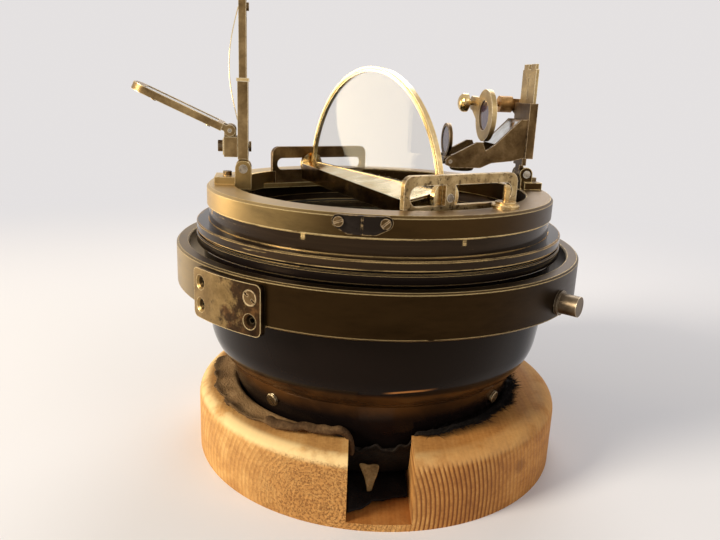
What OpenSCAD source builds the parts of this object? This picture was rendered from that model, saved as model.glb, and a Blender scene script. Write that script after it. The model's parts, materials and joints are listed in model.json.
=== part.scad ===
// Marine bearing compass: gimballed bowl with a sighting ring, lying in a
// round wooden base with a leather liner. Millimetres, +Z up, the camera side
// is -Y. The origin is on the axis of the bowl, at the underside of the base.

/* [Wooden base] */
// Radius of the sawn pine disc
base_r = 110; // [104:1:120]
// Thickness of the plank
base_h = 38; // [30:1:46]
// Rounding of the upper edge
base_round = 7; // [2:0.5:9]
// How far the base lies to the right of the bowl's axis
base_shift = 3.7; // [0:0.1:6]
// Width of the notch at the front
notch_w = 33; // [20:1:40]
// Wood left under the pocket and in the notch
floor_t = 4; // [3:0.5:8]

/* [Leather liner] */
// Thickness of the leather
liner_t = 2; // [1.5:0.1:3]
// Reach of the torn flap on the left, beyond the cap's neck
flap_w = 18.5; // [15:0.5:20]
// Reach of the ragged edge on the other sides, beyond the cap's neck
fringe_w = 8.5; // [7.5:0.5:11]
// Radius of the rolled lip
lip_r = 2.8; // [2:0.1:3.2]

/* [Bowl] */
// Outer radius of the bowl under its flange
bowl_r = 102.2; // [100:0.2:103]
// Height from the foot to the top of the flange
bowl_h = 124.9; // [115:1:135]
// Radius of the long curve of the side, seen in section
curve_r = 346; // [250:5:500]
// Thickness of the bowl's wall
bowl_wall = 3; // [2:0.25:4]
// Reach of the flange beyond the bowl
flange_w = 3.9; // [3:0.1:4.2]
// Thickness of the flange
flange_t = 5.2; // [4:0.2:7]
// Height of the bottom cap
cap_h = 49.7; // [46:0.5:54]
// How far the cap's neck lies inside the bowl's outer radius
neck_in = 22.2; // [21:0.2:26]
// Rounding between the cap's neck and its foot
foot_round = 24; // [18:1:28]
// Length of the cone between neck and shoulder, along the axis
cone_h = 12.5; // [10:0.5:15]
// Radius of the gimbal pins on the bowl
pivot_r = 4; // [3:0.25:5]

/* [Glass cover and turning ring] */
// Width of the seat under the cover glass
seat_w = 4; // [3:0.25:4.5]
// Thickness of the cover glass
glass_t = 5; // [4:0.25:6]
// Groove between the flange and the bezel
groove_h = 1.8; // [1:0.1:3]
// Thickness of the bezel's rim
bezel_t = 4.7; // [4:0.1:6]
// Height of the recessed band that the ring turns on
collar_h = 8.6; // [7:0.2:11]
// How far the sighting ring stands out over that band
collar_in = 1; // [0.5:0.1:2]
// How far the sighting ring's outside lies inside the bowl's outer radius
ring_in = 2.2; // [0.5:0.1:3]
// Width of the sighting ring, from its outside to its bore
ring_w = 15; // [14:0.2:16]
// Height of the sighting ring
ring_h = 10.8; // [9.5:0.2:13]
// Chamfer on its outer top edge
ring_chamfer = 1.3; // [0.5:0.1:2]

/* [Compass card] */
// Gap between the card and the seat of the glass, seen from above
card_gap = 6; // [4.5:0.5:12]
// Thickness of the card
card_t = 0.8; // [0.6:0.1:1.4]
// Radius of the float
float_r = 26; // [20:1:32]
// Length of the two magnets
magnet_l = 104; // [80:1:120]

/* [Gimbal ring] */
// Gap between the flange and the gimbal ring
gimbal_gap = 4.2; // [3.8:0.1:6]
// Thickness of the gimbal ring
gimbal_t = 6.9; // [5:0.1:9]
// Height of the gimbal ring
gimbal_h = 22.9; // [18:0.5:26]
// Height of the gimbal axes below the top of the flange
axis_drop = 19.7; // [18:0.1:22]
// Direction of the bowl's pins, from the front towards the right
pivot_turn = -39; // [-45:1:-33]
// Radius of the trunnions
trunnion_r = 5.25; // [4:0.25:6]
// Length of the trunnions outside the gimbal ring
trunnion_l = 10.8; // [8:0.2:14]
// Width of a bearing plate, along the ring
plate_w = 48; // [40:1:52]
// Height of a bearing plate
plate_h = 25.5; // [22:0.5:28]
// Thickness of a bearing plate
plate_t = 3; // [2:0.25:4]

/* [Half-round glass] */
// Direction of the near handle and of the glass hinge
glass_turn = 31; // [28:0.5:34]
// Length of the ears at the two ends of the straight edge
ear_l = 2.6; // [2:0.1:4]
// Width of the rim, in the plane of the glass
rim_w = 2.7; // [2.3:0.1:4]
// Thickness of the rim
rim_t = 3.2; // [2.8:0.1:5]
// How far the plane of the glass lies left of the ring's axis
glass_side = 8.1; // [4:0.1:12]
// Height of the hinge above the ring
hinge_z = 4.5; // [4:0.1:5.2]
// How far the straight edge lies below the hinge
hinge_drop = 8.5; // [6:0.1:9]
// Depth of the tray at its near end
tray_near = 21; // [14:0.5:22]
// Depth of the tray at its far end
tray_far = 7; // [6:0.5:12]

/* [Handles] */
// Distance of the handle plates inside the ring's bore
handle_in = 9.5; // [9:0.1:9.8]
// Length of a handle
handle_l = 72; // [64:1:73]
// Height of a handle above the ring
handle_h = 16; // [14:0.25:19]
// Thickness of a handle plate
handle_t = 3; // [2:0.25:3.4]
// Height of the finger window in the near handle
window_h = 10; // [8:0.25:10.5]
// How much lower the window of the far handle is
window_less = 2.5; // [1:0.25:3.5]

/* [Sight vanes] */
// Turn of the line of sight against the X axis
sight_turn = 8; // [4:1:12]
// Distance of the thread vane's hinge inside the ring's bore
thread_in = 5.5; // [5.2:0.1:6.4]
// Height of the thread vane's hinge above the ring
thread_z = 8.5; // [8:0.1:10]
// Height of the thread vane above the ring
thread_h = 110; // [95:1:120]
// Width of the thread vane
thread_w = 24; // [20:0.5:26]
// Thickness of its lower part
thread_t = 5.6; // [4.8:0.1:6]
// Thickness of its upper part
upper_t = 4; // [3:0.1:4.6]
// Length of the mirror arm
mirror_l = 56; // [50:1:70]
// Width of the mirror arm
mirror_w = 25; // [20:0.5:28]
// Rise of the mirror arm at rest, in degrees
mirror_rise = 24; // [15:1:30]
// Distance of the eye vane's plate outside the ring's bore
eye_out = 1; // [0.6:0.1:1.4]
// Width of the eye vane
eye_w = 24; // [22:0.5:26]
// Height of the slit plate's top above the ring
slit_top = 72.5; // [70:0.5:80]
// Radius of the large shade glass with its rim
shade_r = 15; // [13:0.25:15.5]
// Radius of the small shade glass with its rim
small_shade_r = 9.5; // [8:0.25:10]
// Radius of the lens barrel
lens_r = 7.5; // [6:0.25:7.8]

/* [Fits] */
// Gap between pieces that move past each other
clear = 0.3; // [0.2:0.05:0.4]
// Play of a pin or shaft in its bore, on the radius
fit = 0.05; // [0.03:0.01:0.1]

/* [Hidden] */
$fn = 48;
big = 180;

// Heights, from the underside of the base
foot_z = floor_t + liner_t + clear;
neck_r = bowl_r - neck_in;
fringe_r = neck_r + fringe_w;
flap_r = neck_r + flap_w;
shell_z = foot_z + cap_h;
flange_top = foot_z + bowl_h;
flange_z = flange_top - flange_t;
bezel_z = flange_top + groove_h;
bezel_top = bezel_z + bezel_t;
collar_top = bezel_top + collar_h;
ring_z = collar_top + clear;
ring_top = ring_z + ring_h;
axis_z = flange_top - axis_drop;
card_z = flange_top - 6;

// Radii that follow from the ones above
flange_r = bowl_r + flange_w;
gimbal_in = flange_r + gimbal_gap;
gimbal_r = gimbal_in + gimbal_t;
ring_r = bowl_r - ring_in;
collar_r = ring_r - collar_in;
bore_r = ring_r - ring_w;
track_r = collar_r - 3.5;
track_in = track_r - 2.5;
seat_r = bore_r + 1;
glass_r = seat_r + seat_w;
card_r = seat_r - card_gap;
stem_r = 4;

// Places on the sighting ring
handle_d = bore_r - handle_in;
half_r = handle_d - handle_t / 2 - clear - ear_l;
thread_x = bore_r - thread_in;
eye_x = bore_r + eye_out;

// Radius of the bowl's outside at height z
function bowl_at(z) =
    bowl_r - curve_r + sqrt(curve_r * curve_r - pow(flange_z - z, 2));
shoulder_r = bowl_at(shell_z);
// Outline of the bottom cap's outside, grown by d: foot, rounding, neck, cone
neck_top = cap_h - cone_h;
function cap_outline(d, n = 10) = concat(
    [for (i = [0 : n]) let (a = -90 + 90 * i / n)
        [neck_r - foot_round + (foot_round + d) * cos(a),
         foot_z + foot_round + (foot_round + d) * sin(a)]],
    [[neck_r + 2 + d, foot_z + neck_top - 5],
     [neck_r + 4.5 + d, foot_z + neck_top]]);

// A direction from the front towards the right, outwards along -Y
module turned(a) rotate([0, 0, a]) children();
// The line of sight, from the top of the ring: +X is the eye vane's side
module sight() translate([0, 0, ring_top]) rotate([0, 0, sight_turn]) children();
// The same, with +X on the thread vane's side
module thread_side() sight() rotate([0, 0, 180]) children();
// The glass hinge, from the top of the ring: -Y is the near handle's side
module glass_side_frame() translate([0, 0, ring_top]) rotate([0, 0, glass_turn]) children();
// A rectangle with round corners, exact arcs
module round_rect(w, h, r) {
    square([w - 2 * r, h], center = true);
    square([w, h - 2 * r], center = true);
    for (x = [-1, 1], y = [-1, 1])
        translate([x * (w / 2 - r), y * (h / 2 - r)]) circle(r);
}
// Turns a profile drawn in X and Z upright, thickness t centred on Y
module upright(t) rotate([90, 0, 0]) linear_extrude(t, center = true) children();
// Turns a profile drawn in Y and Z upright, from x to x + t
module across(x, t) translate([x, 0, 0]) rotate([90, 0, 90]) linear_extrude(t) children();
// A cylinder along Y between two values
module rod_y(x, z, y0, y1, r)
    translate([x, y0, z]) rotate([-90, 0, 0]) cylinder(h = y1 - y0, r = r);
// A cylinder along X between two values
module rod_x(y, z, x0, x1, r)
    translate([x0, y, z]) rotate([0, 90, 0]) cylinder(h = x1 - x0, r = r);
// A slotted cheese head with its shank below, seat at z = 0
module cheese_screw(head_r, head_h, shank_r, shank_l) {
    difference() {
        cylinder(h = head_h, r = head_r);
        translate([-head_r - 1, -head_r * 0.14, head_h * 0.5])
            cube([2 * head_r + 2, head_r * 0.28, head_h]);
    }
    translate([0, 0, -shank_l]) cylinder(h = shank_l + 0.01, r = shank_r);
}

// Wooden base
module base_space(d) {
    rotate_extrude($fn = big) difference() {
        polygon(concat([[0, foot_z - d]], cap_outline(d),
            [[neck_r + 4.5 + d, base_h + 20], [0, base_h + 20]]));
        translate([-500, -500]) square([500, 1000]);
    }
}
module notch_space() translate([base_shift - notch_w / 2, -base_r - 5, floor_t])
    cube([notch_w, base_r + 5, base_h + 10]);
module wood_base() color("burlywood") difference() {
    translate([base_shift, 0, 0]) rotate_extrude($fn = big) {
        square([base_r - base_round, base_h]);
        square([base_r, base_h - base_round]);
        translate([base_r - base_round, base_h - base_round]) circle(base_round);
    }
    base_space(liner_t + clear);
    notch_space();
}

// Leather liner: a cup under the bowl, a torn flap on the left, a fringe
function soft_step(a, lo, hi) = let (t = min(1, max(0, (a - lo) / (hi - lo)))) t * t * (3 - 2 * t);
function torn_at(a) = fringe_r
    + (flap_r - fringe_r) * soft_step(a, -128, -112) * (1 - soft_step(a, -40, -13));
function flap_at(a) = torn_at(a) + 1.1 * sin(19 * a) + 0.5 * sin(47 * a + 30);
module leather_liner() color("dimgray") {
    difference() {
        base_space(liner_t + clear);
        base_space(clear);
        translate([-200, -200, base_h]) cube([400, 400, 60]);
    }
    difference() {
        translate([0, 0, base_h]) linear_extrude(liner_t) polygon(
            [for (i = [0 : 143]) let (a = 2.5 * i - 180, r = flap_at(a))
                [r * sin(a), -r * cos(a)]]);
        base_space(clear);
        notch_space();
    }
    // tongue on the floor of the notch
    intersection() {
        translate([0, 0, floor_t]) linear_extrude(liner_t) difference() {
            polygon(concat([[base_shift + notch_w / 2, foot_round - neck_r - 4],
                [base_shift - notch_w / 2, foot_round - neck_r - 4]],
                [for (i = [0 : 12]) let (x = base_shift - notch_w / 2 + notch_w * i / 12)
                    [x, -neck_r - 7 + 0.16 * (x + 12) + 0.8 * sin(70 * i)]]));
            circle(neck_r - foot_round);
        }
        notch_space();
        difference() {
            cylinder(h = 60, r = base_r);
            base_space(clear + liner_t / 2);
        }
    }
}
// Rolled lip of the flap, from its torn corner into the notch
lip_turns = [-35, -31, -27, -23, -19, -15, -11];
function lip_point(a) = let (r = torn_at(a) + 0.5)
    [r * sin(a), -r * cos(a), base_h + liner_t + lip_r];
module liner_lip() color("dimgray") for (i = [0 : len(lip_turns) - 2]) hull() {
    translate(lip_point(lip_turns[i])) sphere(lip_r, $fn = 14);
    translate(lip_point(lip_turns[i + 1])) sphere(lip_r, $fn = 14);
}
// Tan scrap of leather standing in the notch
module liner_patch() color("tan")
    translate([base_shift - 3, -neck_r - 6, floor_t + liner_t + 0.25])
        rotate([-8, 0, 0]) translate([0, 1, 0]) upright(1.4)
            polygon([[-9, 0], [5, 0], [6, 15], [1, 11], [-7, 13]]);

// Bowl
module bowl_shell() color("black") difference() {
    union() {
        rotate_extrude($fn = big) difference() {
            intersection() {
                translate([bowl_r - curve_r, flange_z]) circle(curve_r, $fn = 720);
                translate([bowl_r - 30, shell_z]) square([40, flange_z - shell_z + 0.01]);
            }
            translate([bowl_r - curve_r, flange_z]) circle(curve_r - bowl_wall, $fn = 720);
        }
        // flange, spigot and the seat of the glass
        rotate_extrude($fn = big) polygon([[seat_r, flange_z - 4], [bowl_r - bowl_wall / 2, flange_z - 4],
            [bowl_r - bowl_wall / 2, flange_z], [flange_r - 0.5, flange_z],
            [flange_r, flange_z + 0.5], [flange_r, flange_top - 0.6],
            [flange_r - 0.6, flange_top], [flange_r - 2.1, flange_top],
            [flange_r - 2.1, bezel_z], [glass_r + clear, bezel_z],
            [glass_r + clear, flange_top - 2.7], [seat_r, flange_top - 2.7]]);
        // skirt inside the bottom cap
        rotate_extrude($fn = big) polygon([[shoulder_r - bowl_wall / 2, shell_z + 3], [shoulder_r - bowl_wall / 2, shell_z],
            [shoulder_r - bowl_wall, shell_z], [skirt_r, skirt_z], [skirt_r - 3, skirt_z],
            [shoulder_r - 2 * bowl_wall, shell_z], [shoulder_r - 2 * bowl_wall, shell_z + 4]]);
    }
    pin_holes();
    verge_holes();
    cap_screw_holes();
    plug_place() translate([0, 0, -8]) cylinder(h = 9, r = 3);
}
// Lower edge of the skirt, just inside the cone of the cap
skirt_z = foot_z + neck_top + 2;
skirt_r = neck_r + 4.5 - bowl_wall - 0.05 + 2 * (shoulder_r - neck_r - 4.5) / cone_h;
module pin_holes() for (a = [pivot_turn, pivot_turn + 180]) turned(a)
    rod_y(0, axis_z, -bowl_r - 20, -bowl_r + 12, pivot_r - 1);
module verge_holes() for (i = [0 : 7]) turned(22.5 + 45 * i)
    translate([0, -(track_r + collar_r) / 2, flange_z]) cylinder(h = 60, r = 1.1);
// The four screws sit square on the cone of the cap
cone_lean = atan2(shoulder_r - neck_r - 4.5, cone_h);
module on_cone() for (i = [0 : 3]) turned(pivot_turn + 90 * i)
    translate([0, -(shoulder_r + neck_r + 4.5) / 2, foot_z + neck_top + cone_h / 2])
        rotate([90 + cone_lean, 0, 0]) children();
module cap_screw_holes() on_cone() translate([0, 0, -9]) cylinder(h = 20, r = 1.6);
module bottom_cap() color("black") difference() {
    rotate_extrude($fn = big) difference() {
        polygon(concat([[0, foot_z]], cap_outline(0), [[shoulder_r, shell_z],
            [shoulder_r - bowl_wall, shell_z], [0, shell_z]]));
        polygon(concat([[0, foot_z + bowl_wall]], cap_outline(-bowl_wall),
            [[shoulder_r - bowl_wall, shell_z], [shoulder_r - bowl_wall, shell_z + 1],
             [0, shell_z + 1]]));
    }
    cap_screw_holes();
}
module cap_screws() color("gray") on_cone() rotate([0, 0, 25])
    cheese_screw(3.6, 1.8, 1.55, 6);
module ballast_ring() color("gray") translate([0, 0, foot_z + bowl_wall])
    difference() {
        cylinder(h = 16, r = neck_r - foot_round - 2, $fn = big);
        translate([0, 0, -1]) cylinder(h = 18, r = 18, $fn = big);
    }
module pivot_stem() color("goldenrod") translate([0, 0, foot_z + bowl_wall])
    rotate_extrude() polygon([[0, 0], [14, 0], [14, 5], [stem_r + 2, 7], [stem_r, 12],
        [stem_r, card_z - 22 - foot_z - bowl_wall], [1.2, card_z - 14 - foot_z - bowl_wall],
        [0, card_z - 7 - clear - foot_z - bowl_wall]]);
module bowl_pins() color("goldenrod") for (a = [pivot_turn, pivot_turn + 180]) turned(a) {
    rod_y(0, axis_z, -gimbal_r + clear, -bowl_r - 1.5, pivot_r);
    rod_y(0, axis_z, -bowl_r - 1.6, -bowl_r - 0.1, pivot_r + 2);
    rod_y(0, axis_z, -bowl_r - 0.2, -bowl_r + bowl_wall + 3, pivot_r - 1);
}
module lubber_post() color("goldenrod") {
    translate([0, -(seat_r - 2), card_z - 10]) cylinder(h = 13, r = 0.9, $fn = 24);
    translate([-3, -bowl_r + bowl_wall + 0.6, card_z - 10]) cube([6, bowl_r - bowl_wall - seat_r + 4, 2]);
}
module plug_place() turned(180) translate([0, -bowl_r - 0.1, axis_z + 6])
    rotate([90, 0, 0]) children();
module filler_plug() color("gray") plug_place() rotate([0, 0, 60])
    cheese_screw(4.5, 1.8, 3, bowl_wall + 1);

// Bezel, glass and gaskets
module verge_ring() color("dimgray") difference() {
    rotate_extrude($fn = big) polygon([
        [seat_r - 0.2, bezel_z + 2.2], [glass_r + clear, bezel_z + 2.2],
        [glass_r + clear, bezel_z], [flange_r - 0.2, bezel_z],
        [flange_r - 0.2, bezel_top - 0.6], [flange_r - 0.8, bezel_top],
        [collar_r, bezel_top], [collar_r, collar_top], [track_r, collar_top],
        [track_r, collar_top + 4.5], [track_in, collar_top + 4.5],
        [track_in, collar_top], [seat_r + 3, collar_top], [seat_r - 0.2, bezel_top + 2]]);
    verge_holes();
    for (i = [0 : 7]) turned(22.5 + 45 * i)
        translate([0, -(track_r + collar_r) / 2, collar_top - 3]) cylinder(h = 20, r = 1.65);
}
module verge_screws() color("gray") for (i = [0 : 7]) turned(22.5 + 45 * i)
    translate([0, -(track_r + collar_r) / 2, collar_top - 3])
        cheese_screw(1.6, 1.8, 1.1, collar_top - 3 - flange_z);
module cover_glass() color("lightcyan") translate([0, 0, flange_top - 1.7])
    cylinder(h = glass_t, r = glass_r, $fn = big);
module glass_gaskets() color("dimgray") for (z = [[flange_top - 2.7, 1],
        [flange_top - 1.7 + glass_t, bezel_z + 2.2 - flange_top + 1.7 - glass_t]])
    translate([0, 0, z[0]]) difference() {
        cylinder(h = z[1], r = glass_r, $fn = big);
        translate([0, 0, -1]) cylinder(h = 5, r = seat_r, $fn = big);
    }

// Card with its float, magnets and jewel
module compass_card() color("white") translate([0, 0, card_z]) difference() {
    cylinder(h = card_t, r = card_r, $fn = big);
    translate([0, 0, -1]) cylinder(h = 3, r = 5);
}
module card_float() color("goldenrod") translate([0, 0, card_z]) rotate_extrude()
    polygon([[6, 0], [float_r, 0], [float_r, -10], [float_r - 5, -16], [14, -16], [6, -6]]);
module card_magnets() color("gray") for (y = [-1, 1])
    rod_x(y * (float_r - 8), card_z - 16 - 3, -magnet_l / 2, magnet_l / 2, 3);
module jewel_cap() color("goldenrod") translate([0, 0, card_z]) rotate_extrude()
    polygon([[0, card_t + 2.5], [3, card_t + 2.5], [4.95, card_t], [4.95, 0], [5.95, 0], [5.95, -6],
        [2.6, -9], [1.2, -9], [0, -7]]);

// Gimbal ring
module gimbal_ring() color("olive") difference() {
    rotate_extrude($fn = big) translate([gimbal_in, axis_z - gimbal_h * 0.356])
        polygon([[0, 0.6], [0.6, 0], [gimbal_t - 0.8, 0], [gimbal_t, 0.8],
            [gimbal_t, gimbal_h - 1], [gimbal_t - 1, gimbal_h], [0.6, gimbal_h],
            [0, gimbal_h - 0.6]]);
    for (a = [pivot_turn, pivot_turn + 180]) turned(a)
        rod_y(0, axis_z, -gimbal_r - 5, -gimbal_in + 5, pivot_r + fit);
    for (a = [pivot_turn + 90, pivot_turn - 90]) turned(a)
        rod_y(0, axis_z, -gimbal_r - 5, -gimbal_in + 5, trunnion_r - 1.2);
    for (a = [pivot_turn, pivot_turn + 180], i = [-1, 1], z = [-1, 1])
        turned(a + i * screw_turn)
            rod_y(0, axis_z + z * 5.8, -gimbal_r - 5, -gimbal_r + 4, 1.3);
}
screw_turn = 0.362 * plate_w / gimbal_r * 57.2958;
plate_turn = plate_w / gimbal_r * 28.6479;
module bearing_plates() color("darkgoldenrod") for (a = [pivot_turn, pivot_turn + 180])
    turned(a) difference() {
        intersection() {
            translate([0, 0, axis_z - plate_h / 2]) difference() {
                cylinder(h = plate_h, r = gimbal_r + plate_t, $fn = big);
                translate([0, 0, -1]) cylinder(h = plate_h + 2, r = gimbal_r, $fn = big);
            }
            translate([0, -gimbal_r, axis_z]) rotate([90, 0, 0])
                linear_extrude(plate_w, center = true) round_rect(plate_w, plate_h, 3);
        }
        for (i = [-1, 1], z = [-1, 1]) turned(i * screw_turn) {
            rod_y(0, axis_z + z * 5.8, -gimbal_r - 9, -gimbal_r + 4, 1.3);
            translate([0, -gimbal_r - plate_t - 0.01, axis_z + z * 5.8])
                rotate([-90, 0, 0]) cylinder(h = 2.2, r1 = 3.9, r2 = 1.6);
        }
    }
// One countersunk screw is left in the plate that faces the viewer, four behind
module plate_screw(a, z) turned(a) translate([0, -gimbal_r - plate_t + 0.1, axis_z + z])
    rotate([-90, 0, 0]) {
        difference() {
            cylinder(h = 2, r1 = 3.7, r2 = 1.5);
            rotate([0, 0, 35]) translate([-5, -0.5, -1]) cube([10, 1, 1.8]);
        }
        cylinder(h = 5.5, r = 1.25);
    }
module plate_screws() color("gray") {
    plate_screw(pivot_turn + screw_turn, 5.8);
    for (i = [-1, 1], z = [-1, 1])
        plate_screw(pivot_turn + 180 + i * screw_turn, z * 5.8);
}
module trunnions() color("dimgray") for (a = [pivot_turn + 90, pivot_turn - 90]) turned(a) {
    rod_y(0, axis_z, -gimbal_r - trunnion_l, -gimbal_r - 1, trunnion_r);
    rod_y(0, axis_z, -gimbal_r - 1.6, -gimbal_r, trunnion_r + 1.2);
    rod_y(0, axis_z, -gimbal_r, -gimbal_in - 0.2, trunnion_r - 1.25);
}

// Sighting ring with the two shelves that carry the handles
shelf_t = 3;
shelf_d = handle_d - handle_t / 2 - 0.2;
module azimuth_ring() color("darkgoldenrod") difference() {
    union() {
        rotate_extrude($fn = big) polygon([
            [bore_r, ring_z], [track_in - 0.4, ring_z], [track_in - 0.4, collar_top + 4.8],
            [track_r + fit, collar_top + 4.8], [track_r + fit, ring_z], [ring_r, ring_z],
            [ring_r, ring_top - ring_chamfer], [ring_r - ring_chamfer, ring_top],
            [bore_r + 0.4, ring_top], [bore_r, ring_top - 0.4]]);
        intersection() {
            translate([0, 0, ring_z]) cylinder(h = shelf_t, r = bore_r + 1, $fn = big);
            turned(glass_turn) for (s = [-1, 1]) translate([0, s * (shelf_d + 10), ring_z])
                cube([120, 20, 2 * shelf_t], center = true);
        }
    }
    handle_screw_places() translate([0, 0, -8]) cylinder(h = 12, r = 1.15);
    turned(index_turn) for (x = index_x) translate([x, -ring_r - 3, index_z])
        rotate([-90, 0, 0]) cylinder(h = 7, r = 1.15);
    foot_screw_places() translate([0, 0, -9.2]) cylinder(h = 12, r = 1.35);
    turned(stud_turn) translate([0, -stud_d, ring_top - 5]) cylinder(h = 6, r = 1.75);
}
// Index plate on the outside of the ring, round its two screws
index_turn = -6;
index_x = [-10.8, 10.8];
index_z = ring_top - 3.4;
module index_plate() color("dimgray") turned(index_turn) difference() {
    intersection() {
        translate([0, 0, ring_z - 5]) difference() {
            cylinder(h = ring_h + 10, r = ring_r + 1.4, $fn = big);
            translate([0, 0, -1]) cylinder(h = ring_h + 12, r = ring_r + 0.01, $fn = big);
        }
        translate([0, -ring_r, index_z]) rotate([90, 0, 0]) {
            for (x = index_x) translate([x, 0, -10]) cylinder(h = 20, r = 3.3);
            linear_extrude(20, center = true) polygon([[-11, 3.1], [11, 3.1], [12.6, -2.8],
                [6.6, -5.8], [-6.6, -5.8], [-12.6, -2.8]]);
        }
    }
    for (x = index_x) translate([x, -ring_r - 3, index_z]) rotate([-90, 0, 0])
        cylinder(h = 6, r = 1.15);
    translate([-0.3, -ring_r - 4, ring_z - 1]) cube([0.6, 2.9, ring_h]);
}
module index_screws() color("gray") turned(index_turn) for (x = index_x)
    translate([x, -ring_r - 1.15, index_z]) rotate([90, 0, 0]) rotate([0, 0, 30 + x])
        cheese_screw(2.4, 1.2, 1.1, 4);

// Handles: an upright plate with a finger window, round the glass pins
module handle_places() for (s = [0, 180]) turned(glass_turn + s) children();
module handle_screw_places() handle_places() for (x = [-7, 7])
    translate([x, -(handle_d + bore_r) / 2 - 0.6, ring_z + shelf_t + 1.8]) children();
module handle_plate(pin_x, win_h) {
    difference() {
        translate([0, -handle_d, ring_top]) upright(handle_t) difference() {
            union() {
                // loop above the ring, web down to the shelf
                translate([0, handle_h / 2]) round_rect(handle_l, handle_h, 5);
                translate([-handle_l / 2, 0]) square([handle_l, handle_h - 6]);
                translate([-handle_l / 2 + 2, ring_z + shelf_t - ring_top])
                    square([handle_l - 4, ring_h - shelf_t + 1]);
            }
            difference() {
                translate([0, 1 + win_h / 2]) round_rect(handle_l - 7, win_h, win_h / 2 - 0.2);
                translate([pin_x - 3, 0]) square([6, handle_h]);
            }
            translate([pin_x, hinge_z]) circle(2 + fit);
        }
    }
    // foot on the shelf
    difference() {
        intersection() {
            translate([-13, -bore_r - 2, ring_z + shelf_t])
                cube([26, bore_r + 2 - handle_d, 1.8]);
            translate([0, 0, ring_z]) cylinder(h = 30, r = bore_r - 0.1, $fn = big);
        }
        for (x = [-7, 7]) translate([x, -(handle_d + bore_r) / 2 - 0.6, ring_z])
            cylinder(h = 20, r = 1.15);
    }
}
module handle_near() color("darkkhaki") turned(glass_turn) handle_plate(-glass_side, window_h);
module handle_far() color("saddlebrown") turned(glass_turn + 180) handle_plate(glass_side, window_h - window_less);
module handle_screws() color("gray") handle_screw_places() cheese_screw(2.1, 1.4, 1.1, 4.6);
// Pin stud on the ring, to the right of the near handle
stud_turn = 44;
stud_d = bore_r + 3.6;
module pin_stud() color("goldenrod") turned(stud_turn) translate([0, -stud_d, ring_top])
    rotate_extrude() polygon([[0, -4.5], [1.7, -4.5], [1.7, 0], [7, 0], [7, 1.2], [6.6, 1.7],
        [5.2, 1.7], [5.2, 3], [1.75, 3], [1.75, 10.6], [1.1, 11.3], [0, 11.3]]);

// Feet of the two sight vanes, with their hinge ears
eye_z = 9;
ear_in = 4.2;
ear_out = 7.2;
module foot_screw_places() {
    thread_side() translate([bore_r + 3.6, 0, 4]) children();
    sight() translate([eye_x + 8.8, 0, 4.2]) children();
}
module thread_foot() color("darkgoldenrod") thread_side() difference() {
    union() {
        translate([bore_r - 1, -10, 0]) cube([11.4, 20, 4]);
        translate([thread_x - 4.5, -ear_out, -3]) cube([9.5, 2 * ear_out, 6.4]);
        for (s = [-1, 1]) translate([0, s * (ear_in + ear_out) / 2, 0])
            upright(ear_out - ear_in) {
                translate([thread_x, thread_z]) circle(4.5);
                translate([thread_x - 4.5, 0]) square([9, thread_z]);
            }
    }
    rod_y(thread_x, thread_z, -20, 20, 1.5);
    translate([bore_r + 3.6, 0, -2]) cylinder(h = 10, r = 1.35);
}
module eye_foot() color("darkgoldenrod") sight() difference() {
    union() {
        translate([eye_x + 1, -8, 0]) cube([11, 16, 4.2]);
        for (s = [-1, 1]) translate([0, s * 5, 0]) upright(3) {
            translate([eye_x + 2, eye_z]) circle(4);
            translate([eye_x - 1, 0]) square([7, 9]);
        }
        translate([eye_x - 0.9, -6.5, 0]) cube([4, 13, 4.2]);
    }
    rod_y(eye_x + 2, eye_z, -20, 20, 1.5);
    translate([eye_x + 8.8, 0, -2]) cylinder(h = 10, r = 1.35);
}
module foot_screws() color("gray") foot_screw_places() rotate([0, 0, 40])
    cheese_screw(2.5, 2.4, 1.3, 8);
module hinge_pin(x, z, half, head_r) {
    rod_y(x, z, -half, half, 1.5);
    for (s = [-1, 1]) rod_y(x, z, s * (half + 0.5) - 0.5, s * (half + 0.5) + 0.5, head_r);
}
module hinge_pins() color("gray") {
    thread_side() hinge_pin(thread_x, thread_z, ear_out, 2.4);
    sight() hinge_pin(eye_x + 2, eye_z, 6.5, 2.2);
}

// Half-round glass in its brass rim, hinged between the handles
half_z = hinge_z - hinge_drop;
bar_top = half_z + 11;
ear_x = handle_d - handle_t / 2 - clear;
module half_disc(r) difference() {
    translate([0, half_z]) circle(r, $fn = big);
    translate([-200, half_z - 400]) square([400, 400]);
}
module in_glass_plane(t) glass_side_frame() translate([-glass_side, 0, 0])
    rotate([0, 0, 90]) upright(t) children();
module glass_frame() color("gold") {
    in_glass_plane(rim_t) difference() {
        half_disc(half_r);
        intersection() {
            half_disc(half_r - rim_w);
            translate([-200, bar_top]) square([400, 200]);
        }
    }
    // raised bead round the rim
    in_glass_plane(rim_t + 0.9) difference() {
        half_disc(half_r - 0.7);
        translate([0, half_z]) circle(half_r - 1.9, $fn = big);
        translate([-200, half_z - 1]) square([400, 12]);
    }
    // round ears on the hinge line
    glass_side_frame() for (s = [-1, 1]) {
        rod_y(-glass_side, hinge_z, s > 0 ? half_r - 0.4 : -ear_x,
            s > 0 ? ear_x : 0.4 - half_r, 7.8);
    }
}
module glass_pane() color("mistyrose") in_glass_plane(2.2) intersection() {
    half_disc(half_r - rim_w);
    translate([-200, bar_top]) square([400, 200]);
}
module glass_pins() color("gray") glass_side_frame() for (s = [-1, 1])
    rod_y(-glass_side, hinge_z, s > 0 ? ear_x : -handle_d - handle_t / 2,
        s > 0 ? handle_d + handle_t / 2 : -ear_x, 2);
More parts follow.
